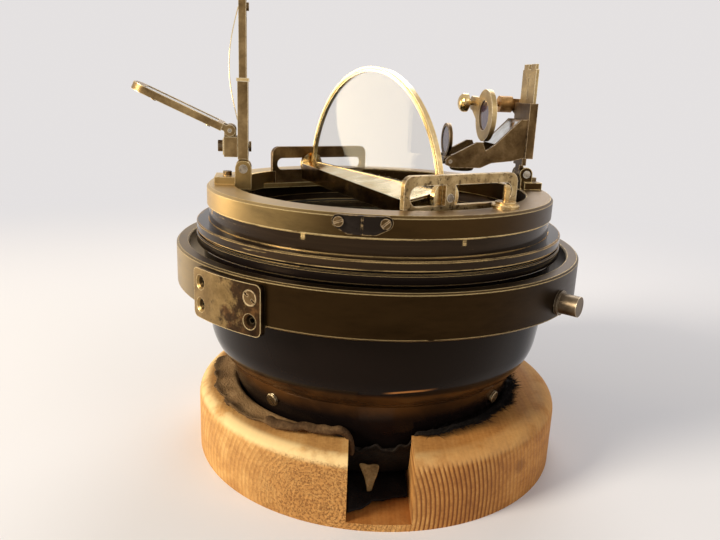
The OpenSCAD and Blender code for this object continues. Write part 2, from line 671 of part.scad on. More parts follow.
// Tray along the foot of the glass: a slanted top and a grooved apron
tray_len = 2 * half_r - 3;
tray_lean = atan2(tray_near - tray_far, tray_len);
module tray_plan(d) polygon([[-rim_t / 2, -tray_len / 2], [-rim_t / 2, tray_len / 2],
    [-rim_t / 2 - tray_far + d, tray_len / 2], [-rim_t / 2 - tray_near + d, -tray_len / 2]]);
module glass_tray() color("gold") glass_side_frame() translate([-glass_side, 0, 0]) {
    intersection() {
        translate([0, 0, -20]) linear_extrude(60) tray_plan(0);
        upright(tray_len) polygon([[0, bar_top], [0, bar_top - 1.4],
            [-rim_t / 2 - tray_near, bar_top - 5.4], [-rim_t / 2 - tray_near, bar_top - 4]]);
    }
    intersection() {
        translate([0, 0, bar_top - 12]) linear_extrude(12 - 1.6) difference() {
            tray_plan(0);
            tray_plan(1.6);
        }
        upright(tray_len) polygon([[0, bar_top - 0.8], [0, bar_top - 11],
            [-rim_t / 2 - tray_near, bar_top - 13], [-rim_t / 2 - tray_near, bar_top - 4.8]]);
    }
}

// Thread vane
vane_z = thread_z + 5.9;
split_z = 56;
groove_x = thread_x + thread_t / 2;
module thread_frame() color("darkkhaki") thread_side() difference() {
    union() {
        // hinge tongue
        upright(2 * ear_in - 2 * clear) {
            translate([thread_x, thread_z]) circle(4);
            translate([thread_x - thread_t / 2, thread_z]) square([thread_t, vane_z - thread_z + 1]);
        }
        across(thread_x - thread_t / 2, thread_t) translate([-thread_w / 2, vane_z])
            square([thread_w, split_z - vane_z]);
        across(thread_x - upper_t / 2, upper_t) {
            translate([-thread_w / 2 + 1, split_z - 0.1]) square([thread_w - 2, thread_h - split_z - 6]);
            translate([0, thread_h - 8]) round_rect(thread_w - 2, 16, 5);
        }
    }
    rod_y(thread_x, thread_z, -20, 20, 1.5 + fit);
    // window of the thread, rounded at both ends
    across(thread_x - 10, 20) translate([0, (36 + thread_h - 20) / 2])
        round_rect(thread_w - 11, thread_h - 56, 3);
    // slot that the mirror slider runs in
    across(thread_x - 10, 20) {
        translate([-1.6, 19.7]) square([3.2, 11.4]);
        translate([0, 19.7]) circle(1.6);
        translate([0, 31.1]) circle(1.6);
    }
    rod_x(0, wire_top, thread_x - 10, thread_x + 10, 0.6);
}
module thread_ferrules() color("gold") thread_side() for (s = [-1, 1]) difference() {
    translate([thread_x - 3.3, s * (thread_w / 2 - 2.75) - 3.2, split_z]) cube([6.6, 6.4, 1.8]);
    translate([thread_x - upper_t / 2, -thread_w / 2 + 1, split_z - 1]) cube([upper_t, thread_w - 2, 4]);
}
// Slack sighting wire: out of the top bar, round a bow, back to the plate
wire_r = 0.3;
wire_n = 16;
wire_top = thread_h - 15;
wire_low = 35;
function wire_at(i) = let (s = i / wire_n)
    [groove_x + wire_r + 0.02 - (thread_t - upper_t) / 2 * s * s + 4.6 * sin(180 * s), 0.0,
     wire_low + (wire_top - wire_low) * s];
module sight_wire() color("khaki") thread_side() polyhedron(
    points = [for (i = [0 : wire_n], k = [0 : 5]) wire_at(i) + wire_r * [cos(60 * k), sin(60 * k), 0]],
    faces = concat([[0, 1, 2, 3, 4, 5]],
        [for (i = [0 : wire_n - 1], k = [0 : 5]) let (j = (k + 1) % 6, b = 6 * i)
            [b + k, b + 6 + k, b + j]],
        [for (i = [0 : wire_n - 1], k = [0 : 5]) let (j = (k + 1) % 6, b = 6 * i)
            [b + j, b + 6 + k, b + 6 + j]],
        [[for (k = [5 : -1 : 0]) 6 * wire_n + k]]));
module wire_screws() color("gray") thread_side() {
    translate([thread_x - upper_t / 2, 0, wire_top]) rotate([0, -90, 0]) rotate([0, 0, 20])
        cheese_screw(2.2, 1.4, 0.55, upper_t - 0.4);
    translate([thread_x, 0, thread_h]) cylinder(h = 1.5, r = 1.1);
}

// Slider with the mirror arm, on the outer face of the thread vane
block_z = 15;
block_h = 11;
block_x = groove_x + clear;
knuckle_x = block_x + 4.1;
knuckle_z = block_z + block_h + 3.5;
module mirror_slider() color("darkgoldenrod") thread_side() difference() {
    union() {
        translate([block_x, -8, block_z]) cube([7.4, 16, block_h]);
        for (s = [-1, 1]) translate([0, s * 3.6, 0]) upright(2.6) {
            translate([knuckle_x, knuckle_z]) circle(3.2);
            translate([knuckle_x - 3.2, block_z + block_h - 1]) square([6.4, 4]);
        }
    }
    translate([block_x - 1, -1.5, block_z - 1]) cube([3.2, 3, block_h + 2]);
    rod_y(knuckle_x, knuckle_z, -20, 20, 1);
    rod_x(0, block_z + 5.5, block_x - 1, block_x + 20, 1.2);
}
module slider_spring() color("goldenrod") thread_side() difference() {
    translate([block_x + 7.4, -5, block_z + 0.8]) cube([0.8, 10, 9]);
    rod_x(0, block_z + 5.5, block_x, block_x + 20, 1.2);
}
module slider_screw() color("dimgray") thread_side() {
    rod_x(0, block_z + 5.5, block_x + 8.2, block_x + 11, 3.2);
    rod_x(0, block_z + 5.5, block_x + 3.6, block_x + 8.2, 1.15);
}
module guide_screw() color("gray") thread_side() {
    rod_x(0, block_z + 5.5, thread_x - thread_t / 2 - clear - 1.4, thread_x - thread_t / 2 - clear, 2.9);
    rod_x(0, block_z + 5.5, thread_x - thread_t / 2 - clear, block_x + 3.4, 1.15);
}
module mirror_pin() color("gray") thread_side()
    rod_y(knuckle_x, knuckle_z, -8.6, 8.6, 0.98);
module on_arm() thread_side() translate([knuckle_x, 0, knuckle_z])
    rotate([0, -mirror_rise, 0]) children();
module mirror_frame() color("darkkhaki") on_arm() difference() {
    union() {
        for (s = [-1, 1]) translate([0, s * 6.8, 0]) upright(3) {
            circle(3.2);
            translate([0, -1.6]) square([5.5, 3.4]);
        }
        translate([0, 0, -2]) linear_extrude(4) {
            translate([4.4, -mirror_w / 2]) square([mirror_l - 12.4, mirror_w]);
            translate([mirror_l - 20, 0]) round_rect(40, mirror_w, 8);
        }
        for (x = [13, 47]) translate([x * mirror_l / 60, 0, -3.4]) cylinder(h = 2, r = 1.3);
    }
    translate([8, -mirror_w / 2 + 2.5, -0.2]) cube([mirror_l - 14, mirror_w - 5, 5]);
    rod_y(0, 0, -20, 20, 1 + fit);
}
module mirror_glass() color("lightgray") on_arm()
    translate([8, -mirror_w / 2 + 2.5, -0.2]) cube([mirror_l - 14, mirror_w - 5, 1.8]);

// Eye vane: plate with the slit, reading mirror, lens and shades
body_z = 18.7;
body_top = 50.4;
body_t = 4.8;
body_x = eye_x - 2;
slit_w = eye_w - 3.6;
slit_t = 1.8;
cheek_y = 9;
cheek_t = 2;
rod_y0 = 25;
rod_z = 49;
shade_mid = 42.4;
lens_x = eye_x - 36.5;
shade_pin_x = eye_x - 46.8;
shade_pin_z = 16;
module cheek() polygon([[body_x + 0.1, body_z + 0.5], [body_x + 0.1, 41], [body_x - 4, 41],
    [body_x - 18.4, 26.4], [body_x - 24, 22.6], [body_x - 26.2, 27.4], [body_x - 29.6, 27.4],
    [shade_pin_x - 1, shade_pin_z + 2.7], [shade_pin_x - 2.6, shade_pin_z + 1],
    [shade_pin_x - 2.6, shade_pin_z - 2], [shade_pin_x + 1, shade_pin_z - 3.4],
    [lens_x + 8, 12.6], [body_x - 20, 15.6], [body_x - 8, 17]]);
module eye_body() color("saddlebrown") sight() {
    difference() {
        union() {
            translate([body_x, -eye_w / 2, body_z]) cube([body_t, eye_w, body_top - body_z]);
            // leaf and knuckle of the hinge
            upright(6.4) {
                translate([eye_x + 2, eye_z]) circle(3.8);
                translate([body_x + 0.4, 9]) square([2.6, body_z - 8]);
            }
            translate([body_x + 0.4, -7, 14.2]) cube([2.6, 14, body_z - 14]);
            // arm that carries the rod of the shades
            across(body_x + 2, 2.8) polygon([[eye_w / 2 - 1, 41], [eye_w / 2 - 1, body_top],
                [eye_w / 2, rod_z + 3.6], [rod_y0 + 2, rod_z + 3.6], [rod_y0 + 3.6, rod_z + 1],
                [rod_y0 + 2, rod_z - 3.4], [rod_y0 - 3, rod_z - 3.8]]);
        }
        // channel of the slit plate and the reading window
        translate([body_x + 1.95, -slit_w / 2 - 0.2, 22]) cube([slit_t + 0.4, slit_w + 0.4, 60]);
        translate([body_x + 4, -slit_w / 2 + 1.1, 22]) cube([2, slit_w - 2.2, 60]);
        translate([body_x - 1, -5.5, 24]) cube([10, 11, 15]);
        rod_y(eye_x + 2, eye_z, -20, 20, 1.5 + fit);
        rod_x(rod_y0, rod_z, body_x - 5, body_x + 10, 1.5);
    }
    // the two cheeks and the bridge that holds the lens
    for (s = [-1, 1]) translate([0, s * (cheek_y + cheek_t / 2), 0]) upright(cheek_t)
        difference() {
            cheek();
            translate([shade_pin_x, shade_pin_z]) circle(1);
        }
    difference() {
        translate([lens_x - 6.4, -cheek_y - 0.01, 14.4]) cube([14, 2 * cheek_y + 0.02, 2.4]);
        translate([lens_x, 0, 0]) cylinder(h = 60, r = lens_r - 0.7);
    }
}
module reader_mirror() color("lightgray") sight()
    translate([body_x - 18.2, 0, 26.6]) rotate([0, -45, 0]) {
        translate([0, -cheek_y + 0.02, -2.4]) cube([20.2, 2 * cheek_y - 0.04, 2.4]);
    }
module lens_barrel() color("dimgray") sight() translate([lens_x, 0, 0]) rotate_extrude()
    polygon([[lens_r - 2, 10], [lens_r - 1, 10.3], [lens_r - 0.2, 11.6], [lens_r, 13.2],
        [lens_r, 14.4], [lens_r - 0.7, 14.4], [lens_r - 0.7, 19], [lens_r - 2, 19],
        [lens_r - 2, 15.8], [0, 16.6], [0, 13], [lens_r - 2, 13.4]]);
module shade_rod() color("goldenrod") sight() {
    rod_x(rod_y0, rod_z, eye_x - 33, body_x + 4.8, 1.5);
    rod_x(rod_y0, rod_z, body_x - 6, body_x + 2, 5);
    rod_x(rod_y0, rod_z, body_x + 4.8, body_x + 6, 2.6);
    // domed left knob
    translate([eye_x - 28, rod_y0, rod_z]) rotate([0, -90, 0]) rotate_extrude()
        polygon([[1.5, 0], [5, 0], [5.7, 0.8], [5.7, 2.8], [5.4, 3.8], [4.7, 4.7], [3.8, 5.4], [2.7, 5.9],
            [1.4, 6.15], [0, 6.2], [0, 4], [1.5, 4]]);
}
module small_shade_pin() color("gray") sight()
    rod_y(shade_pin_x, shade_pin_z, -cheek_y - cheek_t - 0.6, cheek_y + cheek_t + 0.6, 0.98);
module slit_plate() color("darkkhaki") sight() across(body_x + 2.15, slit_t) difference() {
    union() {
        translate([-slit_w / 2, 38]) square([slit_w, slit_top - 41]);
        translate([-slit_w / 2 + 1.5, slit_top - 4]) square([slit_w - 3, 4]);
    }
    translate([-0.5, 53]) square([1, 12]);
    translate([-1.6, slit_top - 3]) square([3.2, 4]);
}
// Shade glasses, each in a ring with a lug on its pivot
shade_x = eye_x - 25.5;
module large_shade() color("darkgoldenrod") sight() difference() {
    union() {
        rod_x(0, shade_mid, shade_x, shade_x + 3, shade_r, $fn = 96);
        across(shade_x, 3) polygon([[8, shade_mid + 10], [rod_y0 - 1, rod_z + 3.9],
            [rod_y0 - 1, rod_z - 3.9], [11, shade_mid - 5]]);
        rod_x(rod_y0, rod_z, shade_x, shade_x + 3, 4.2);
    }
    rod_x(0, shade_mid, shade_x - 1, shade_x + 4, shade_r - 6.3, $fn = 96);
    rod_x(rod_y0, rod_z, shade_x - 1, shade_x + 4, 1.5 + fit);
}
module small_shade() color("dimgray") sight() {
    difference() {
        union() {
            across(shade_pin_x - 1, 2) difference() {
                union() {
                    translate([0, shade_pin_z + 2.4 + small_shade_r]) circle(small_shade_r);
                    translate([-3, shade_pin_z]) square([6, 5]);
                }
                translate([0, shade_pin_z + 2.4 + small_shade_r]) circle(small_shade_r - 1.8);
            }
            rod_y(shade_pin_x, shade_pin_z, -4, 4, 2.1);
        }
        rod_y(shade_pin_x, shade_pin_z, -5, 5, 1 + fit);
    }
}
module large_shade_glass() color("slateblue") sight() {
    rod_x(0, shade_mid, shade_x + 0.7, shade_x + 2.3, shade_r - 6.3, $fn = 96);
}
module small_shade_glass() color("slateblue") sight() across(shade_pin_x - 0.6, 1.2)
    translate([0, shade_pin_z + 2.4 + small_shade_r]) circle(small_shade_r - 1.8);

wood_base();
leather_liner();
liner_lip();
liner_patch();
bowl_shell();
bottom_cap();
cap_screws();
ballast_ring();
pivot_stem();
verge_ring();
cover_glass();
glass_gaskets();
verge_screws();
bowl_pins();
lubber_post();
filler_plug();
compass_card();
card_float();
card_magnets();
jewel_cap();
gimbal_ring();
bearing_plates();
plate_screws();
trunnions();
azimuth_ring();
index_plate();
index_screws();
handle_near();
handle_far();
handle_screws();
pin_stud();
thread_foot();
eye_foot();
foot_screws();
hinge_pins();
glass_frame();
glass_pane();
glass_tray();
glass_pins();
thread_frame();
thread_ferrules();
sight_wire();
wire_screws();
mirror_slider();
slider_spring();
slider_screw();
guide_screw();
mirror_pin();
mirror_frame();
mirror_glass();
eye_body();
reader_mirror();
lens_barrel();
shade_rod();
small_shade_pin();
slit_plate();
large_shade();
large_shade_glass();
small_shade();
small_shade_glass();
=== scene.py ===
# Looks of the marine compass: camera, light, materials, and the pieces that the
# CAD model leaves plain: leather, fibres, dial marks and the bowl's round shoulder.
# Metres, in the frame of the model.
import bpy, bmesh, math, random, json
from mathutils import Vector, Matrix


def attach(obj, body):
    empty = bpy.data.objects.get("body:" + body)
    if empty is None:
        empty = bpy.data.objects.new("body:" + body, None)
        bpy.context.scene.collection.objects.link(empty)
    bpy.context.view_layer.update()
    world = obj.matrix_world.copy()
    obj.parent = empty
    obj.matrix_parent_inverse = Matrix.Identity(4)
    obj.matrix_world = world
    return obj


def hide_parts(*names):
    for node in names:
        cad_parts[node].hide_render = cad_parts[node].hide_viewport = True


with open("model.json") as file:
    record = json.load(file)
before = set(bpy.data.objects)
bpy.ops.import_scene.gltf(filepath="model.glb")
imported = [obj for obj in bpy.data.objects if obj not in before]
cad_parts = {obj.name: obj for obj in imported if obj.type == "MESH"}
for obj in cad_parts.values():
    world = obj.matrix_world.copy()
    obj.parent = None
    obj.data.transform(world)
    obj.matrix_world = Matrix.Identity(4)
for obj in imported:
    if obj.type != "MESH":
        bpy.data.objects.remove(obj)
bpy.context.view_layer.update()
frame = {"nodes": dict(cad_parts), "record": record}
nodes = frame["nodes"]
scene = bpy.context.scene
scene.view_settings.view_transform = "Standard"
MM = 0.001

# Camera, fitted to points of the model that show in the photograph
cam_data = bpy.data.cameras.new("camera")
cam_data.lens = 33.375
cam_data.sensor_width = 36.0
cam = bpy.data.objects.new("camera", cam_data)
scene.collection.objects.link(cam)
CAMERA_AT = Vector((-0.0144, -0.3961, 0.2118))
LOOK_DOWN = math.radians(15.139)
LOOK_TURN = math.radians(-0.725)
ROLL = math.radians(2.372)
cam.matrix_world = (Matrix.Translation(CAMERA_AT) @ Matrix.Rotation(LOOK_TURN, 4, "Z")
    @ Matrix.Rotation(math.pi / 2 - LOOK_DOWN, 4, "X") @ Matrix.Rotation(ROLL, 4, "Z"))
scene.camera = cam

# Sizes of the model that the scene's own pieces follow, in millimetres
BASE_H = 38.0
BASE_SHIFT = 3.7
NOTCH_L, NOTCH_R = BASE_SHIFT - 16.5, BASE_SHIFT + 16.5
NECK_R = 80.0
FOOT_ROUND = 24.0
FOOT_Z = 6.3
FRINGE_R = 88.5
FLAP_R = 98.5
CARD_TOP = 126.0
SIGHT_TURN = 8.0
PIN_TURN = -39.0


class Mat:
    """A Principled material with short names for the nodes that it needs."""

    def __init__(self, name, **values):
        self.m = bpy.data.materials.new(name)
        self.m.use_nodes = True
        self.t = self.m.node_tree
        self.b = self.t.nodes["Principled BSDF"]
        self._at = None
        for key, value in values.items():
            self.b.inputs[key.replace("_", " ")].default_value = value

    def add(self, kind, **props):
        node = self.t.nodes.new(kind)
        for key, value in props.items():
            setattr(node, key, value)
        return node

    def put(self, socket, value):
        if isinstance(value, bpy.types.NodeSocket):
            self.t.links.new(value, socket)
        elif hasattr(socket.default_value, "__len__") and not hasattr(value, "__len__"):
            socket.default_value = [value] * len(socket.default_value)
        elif hasattr(socket.default_value, "__len__") and len(value) == 3 \
                and len(socket.default_value) == 4:
            socket.default_value = (*value, 1)
        else:
            socket.default_value = value

    def at(self):
        if self._at is None:
            self._at = self.add("ShaderNodeTexCoord").outputs["Object"]
        return self._at

    def moved(self, scale=(1, 1, 1), turn=0.0, where=None):
        """The place, turned about Z by some degrees and scaled."""
        node = self.add("ShaderNodeMapping")
        self.put(node.inputs["Vector"], where if where is not None else self.at())
        node.inputs["Scale"].default_value = scale
        node.inputs["Rotation"].default_value = (0, 0, math.radians(turn))
        return node.outputs["Vector"]

    def around(self, along=0.02):
        """(arc length scaled by along, radius, height): for streaks round the axis."""
        turn = self.math("ARCTAN2", self.part("X"), self.math("MULTIPLY", self.part("Y"), -1))
        node = self.add("ShaderNodeCombineXYZ")
        self.put(node.inputs[0], self.math("MULTIPLY", turn, along))
        self.put(node.inputs[1], self.radius())
        self.put(node.inputs[2], self.part("Z"))
        return node.outputs[0]

    def noise(self, scale, detail=4.0, rough=0.55, where=None, warp=0.0):
        node = self.add("ShaderNodeTexNoise")
        self.put(node.inputs["Vector"], where if where is not None else self.at())
        for key, value in (("Scale", scale), ("Detail", detail), ("Roughness", rough),
                           ("Distortion", warp)):
            node.inputs[key].default_value = value
        return node.outputs["Fac"]

    def cells(self, scale, where=None):
        node = self.add("ShaderNodeTexVoronoi", feature="F1")
        self.put(node.inputs["Vector"], where if where is not None else self.at())
        node.inputs["Scale"].default_value = scale
        return node.outputs["Distance"]

    def ramp(self, value, *stops):
        node = self.add("ShaderNodeValToRGB")
        self.put(node.inputs["Fac"], value)
        steps = node.color_ramp.elements
        while len(steps) > 1:
            steps.remove(steps[-1])
        for i, (place, colour) in enumerate(stops):
            e = steps[0] if i == 0 else steps.new(place)
            e.position = place
            c = colour if hasattr(colour, "__len__") else (colour,) * 3
            e.color = (*c, 1)
        return node.outputs["Color"]

    def mix(self, amount, a, b, kind="MIX"):
        node = self.add("ShaderNodeMix", data_type="RGBA", blend_type=kind)
        self.put(node.inputs["Factor"], amount)
        self.put(node.inputs[6], a)
        self.put(node.inputs[7], b)
        return node.outputs[2]

    def math(self, what, a, b=0.0, clamp=False):
        node = self.add("ShaderNodeMath", operation=what, use_clamp=clamp)
        self.put(node.inputs[0], a)
        self.put(node.inputs[1], b)
        return node.outputs[0]

    def times(self, *values):
        total = values[0]
        for value in values[1:]:
            total = self.math("MULTIPLY", total, value)
        return total

    def plus(self, *values):
        total = values[0]
        for value in values[1:]:
            total = self.math("ADD", total, value)
        return total

    def rest(self, value):
        return self.math("SUBTRACT", 1.0, value)

    def band(self, value, low, high):
        """0 below low, 1 above high, smooth between."""
        node = self.add("ShaderNodeMapRange", interpolation_type="SMOOTHSTEP")
        self.put(node.inputs["Value"], value)
        node.inputs["From Min"].default_value = low
        node.inputs["From Max"].default_value = high
        return node.outputs["Result"]

    def part(self, axis, where=None):
        node = self.add("ShaderNodeSeparateXYZ")
        self.put(node.inputs[0], where if where is not None else self.at())
        return node.outputs[axis]

    def radius(self):
        x, y = self.part("X"), self.part("Y")
        return self.math("SQRT", self.plus(self.times(x, x), self.times(y, y)))

    def upward(self):
        """How far the surface faces up, from -1 to 1."""
        geo = self.add("ShaderNodeNewGeometry")
        return self.part("Z", geo.outputs["Normal"])

    def edges(self, radius, low=0.006, high=0.075):
        """1 on edges and 0 on flat faces, from the Bevel node's turned normal."""
        bevel = self.add("ShaderNodeBevel", samples=6)
        bevel.inputs["Radius"].default_value = radius
        geo = self.add("ShaderNodeNewGeometry")
        dot = self.add("ShaderNodeVectorMath", operation="DOT_PRODUCT")
        self.put(dot.inputs[0], bevel.outputs["Normal"])
        self.put(dot.inputs[1], geo.outputs["Normal"])
        return self.band(self.rest(dot.outputs["Value"]), low, high)

    def bump(self, height, depth, strength=1.0):
        node = self.add("ShaderNodeBump")
        self.put(node.inputs["Height"], height)
        node.inputs["Distance"].default_value = depth
        node.inputs["Strength"].default_value = strength
        return node.outputs["Normal"]

    def look(self, colour=None, rough=None, metal=None, normal=None):
        for key, value in (("Base Color", colour), ("Roughness", rough),
                           ("Metallic", metal), ("Normal", normal)):
            if value is not None:
                self.put(self.b.inputs[key], value)
        return self.m


def metal(name, dark, mid, light, worn, rough=(0.3, 0.5), scale=60, edge=0.0006,
          keep=0.5, spots=0.0, spot_colour=(0.05, 0.03, 0.015), relief=0.00010):
    """Old metal: soft patches of three tones, worn edges, fine scratches, stains."""
    k = Mat(name, Metallic=1.0)
    big = k.noise(scale, 5, 0.6, warp=0.3)
    fine = k.noise(scale * 10, 3, 0.7)
    tone = k.ramp(k.plus(k.times(big, 0.8), k.times(fine, 0.2)),
                  (0.34, dark), (0.5, mid), (0.66, light))
    broken = k.band(k.noise(scale * 5, 4, 0.7), 0.62 - keep * 0.5, 0.70 - keep * 0.3)
    colour = k.mix(k.times(k.edges(edge), broken), tone, worn)
    if spots:
        stain = k.band(k.noise(scale * 3.2, 6, 0.72), 0.66 - spots * 0.16, 0.74 - spots * 0.12)
        colour = k.mix(k.times(stain, 0.85), colour, spot_colour)
    rr = k.ramp(k.plus(k.times(fine, 0.6), k.times(big, 0.4)), (0.35, rough[0]), (0.68, rough[1]))
    pits = k.band(k.cells(scale * 14), 0.08, 0.2)
    height = k.plus(k.times(fine, 0.6), k.times(pits, 0.4))
    return k.look(colour, rr, None, k.bump(height, relief, 0.55))


WARM_SHEEN = (1.0, 0.72, 0.48, 1)


def enamel(name, paint, under, rough=0.16, edge=0.0011, chips=0.0, spread=(0.57, 0.60),
           scale=50, along=0.03, lines=0.5, gloss=0.25):
    """Paint over brass: worn through on its edges and, where chips asks, in patches
    that are more on the left."""
    k = Mat(name, Specular_IOR_Level=gloss, Specular_Tint=WARM_SHEEN)
    where = k.around(along)
    grain = k.noise(scale * 6, 6, 0.7, where)
    patch = k.noise(scale * 1.6, 5, 0.62, where, 0.5)
    worn = k.times(k.edges(edge, 0.006, 0.07), k.band(grain, 0.56 - lines * 0.22, 0.62 - lines * 0.1))
    if chips:
        left = k.rest(k.band(k.part("X"), -0.105, -0.030))
        lost = k.band(k.plus(k.times(patch, 0.55), k.times(grain, 0.45), k.times(left, 0.055)),
                      spread[0], spread[1])
        worn = k.math("MAXIMUM", worn, k.times(lost, chips))
    brass = k.ramp(grain, (0.3, [v * 0.45 for v in under]), (0.5, under),
                   (0.72, [min(1, v * 1.45) for v in under]))
    film = k.mix(k.band(patch, 0.42, 0.68), paint, [v * 1.8 + 0.002 for v in paint])
    rr = k.plus(k.times(k.noise(scale * 5, 4, 0.7), 0.14), k.times(worn, 0.2), rough - 0.07)
    height = k.math("SUBTRACT", k.times(grain, 0.10), worn)
    return k.look(k.mix(worn, film, brass), rr, worn, k.bump(height, 0.00008, 0.5))


def bowl_paint():
    """Black enamel of the bowl: brown below its shoulder as a painted reflection of the wood, worn bright on
    the flange's edges.
    """
    k = Mat("bowl_paint", Specular_IOR_Level=0.10, Specular_Tint=WARM_SHEEN)
    x, z = k.part("X"), k.part("Z")
    soft, grain = k.noise(26, 4, 0.6), k.noise(300, 6, 0.7, k.around(0.03))
    flange = k.times(k.edges(0.0004), k.band(z, 0.121, 0.124), k.band(grain, 0.28, 0.42))
    # painted reflection of the wood: patchy warm brown below the bowl's shoulder
    above = k.band(k.plus(z, k.times(soft, 0.004)), 0.0665, 0.0695)
    brown = k.times(k.band(z, 0.047, 0.057), k.rest(above),
                    k.plus(0.35, k.times(k.band(soft, 0.40, 0.62), 0.65)))
    colour = k.mix(k.times(brown, 0.85), (0.0062, 0.0040, 0.0034), (0.082, 0.032, 0.008))
    # one scrape at the front, just above the brown
    off = k.math("ABSOLUTE", k.plus(z, -0.0672, k.times(x, -0.06), k.times(soft, -0.002)))
    scrape = k.times(k.rest(k.band(off, 0.0003, 0.0008)), k.band(x, 0.002, 0.010),
                     k.rest(k.band(x, 0.018, 0.032)), k.band(k.part("Y"), 0.0, -0.02))
    colour = k.mix(k.times(scrape, 0.8), colour, (0.50, 0.20, 0.055))
    colour = k.mix(flange, colour, (0.66, 0.46, 0.20))
    rr = k.plus(0.09, k.times(soft, 0.12), k.times(flange, 0.2))
    height = k.math("SUBTRACT", k.times(grain, 0.10), flange)
    return k.look(colour, rr, flange, k.bump(height, 0.00006, 0.5))


def ring_metal(name, side_lit, side_shaded, top_lit, top_shaded, start, end, worn):
    """Dark metal of a ring, paler on top, with painted light: lit colours to the left and shaded
    colours to the right, blended between start and end along X; with bright worn edges."""
    k = Mat(name, Metallic=1.0)
    where = k.around(0.03)
    big, fine = k.noise(34, 5, 0.62, where, 0.3), k.noise(420, 4, 0.7, where)
    # painted light: lit colours on the left, painted shade on the right
    left = k.rest(k.band(k.plus(k.part("X"), k.times(big, 0.02)), start, end))
    top = k.band(k.upward(), 0.5, 0.9)
    side = k.mix(left, side_shaded, side_lit)
    colour = k.mix(top, side, k.mix(left, top_shaded, top_lit))
    shade = k.ramp(k.plus(k.times(big, 0.75), k.times(fine, 0.25)),
                   (0.36, 0.55), (0.5, 0.85), (0.64, 1.0))
    colour = k.mix(1.0, colour, shade, "MULTIPLY")
    line = k.times(k.edges(0.0008), k.band(k.noise(200, 4, 0.7, where), 0.34, 0.44))
    colour = k.mix(line, colour, worn)
    rr = k.plus(0.26, k.times(fine, 0.12), k.times(big, 0.10))
    return k.look(colour, rr, None, k.bump(fine, 0.00006, 0.5))


def tray():
    """Slanted tray: painted light, bright on top and painted shade on its apron, with bright edges."""
    k = Mat("tray_brass", Metallic=1.0)
    streak = k.noise(60, 5, 0.6)
    bright = k.ramp(streak, (0.38, (0.90, 0.68, 0.31)), (0.60, (1.0, 0.87, 0.56)))
    dark = k.ramp(k.noise(110, 5, 0.65),
                  (0.40, (0.085, 0.046, 0.018)), (0.66, (0.30, 0.190, 0.080)))
    # painted light: the upward top lit bright, the apron in painted shade
    colour = k.mix(k.band(k.upward(), 0.2, 0.5), dark, bright)
    colour = k.mix(k.edges(0.0008), colour, (1.0, 0.88, 0.58))
    return k.look(colour, k.ramp(streak, (0.3, 0.10), (0.7, 0.24)))


def plate():
    """Bearing plate: pale brass towards the left, dark rust stains towards the right."""
    k = Mat("plate_bronze", Metallic=1.0)
    across = k.part("X", k.moved(turn=-PIN_TURN))
    n, fine = k.noise(120, 6, 0.68), k.noise(700, 3, 0.7)
    pale = k.ramp(n, (0.36, (0.20, 0.120, 0.040)), (0.64, (0.35, 0.225, 0.085)))
    stain = k.band(k.plus(k.noise(110, 6, 0.72), k.times(across, 11.0)), 0.44, 0.62)
    rust = k.ramp(n, (0.36, (0.022, 0.011, 0.005)), (0.54, (0.055, 0.028, 0.011)),
                  (0.68, (0.17, 0.080, 0.026)))
    colour = k.mix(stain, pale, rust)
    colour = k.mix(k.edges(0.0007), colour, (0.86, 0.66, 0.34))
    # painted shade: the holes are darkened inside
    hole_shade = k.rest(k.band(k.radius(), 0.11895, 0.11935))
    colour = k.mix(k.times(hole_shade, 0.92), colour, (0.012, 0.007, 0.003))
    rr = k.plus(0.27, k.times(fine, 0.16), k.times(stain, 0.08))
    return k.look(colour, rr, None, k.bump(k.plus(k.times(fine, 0.5), stain), 0.00010, 0.5))


LOG_X, LOG_Z, YEARS_PER_METRE = -0.021, 0.010, 430.0
KNOT_X, KNOT_Z = 0.0790, 0.0215


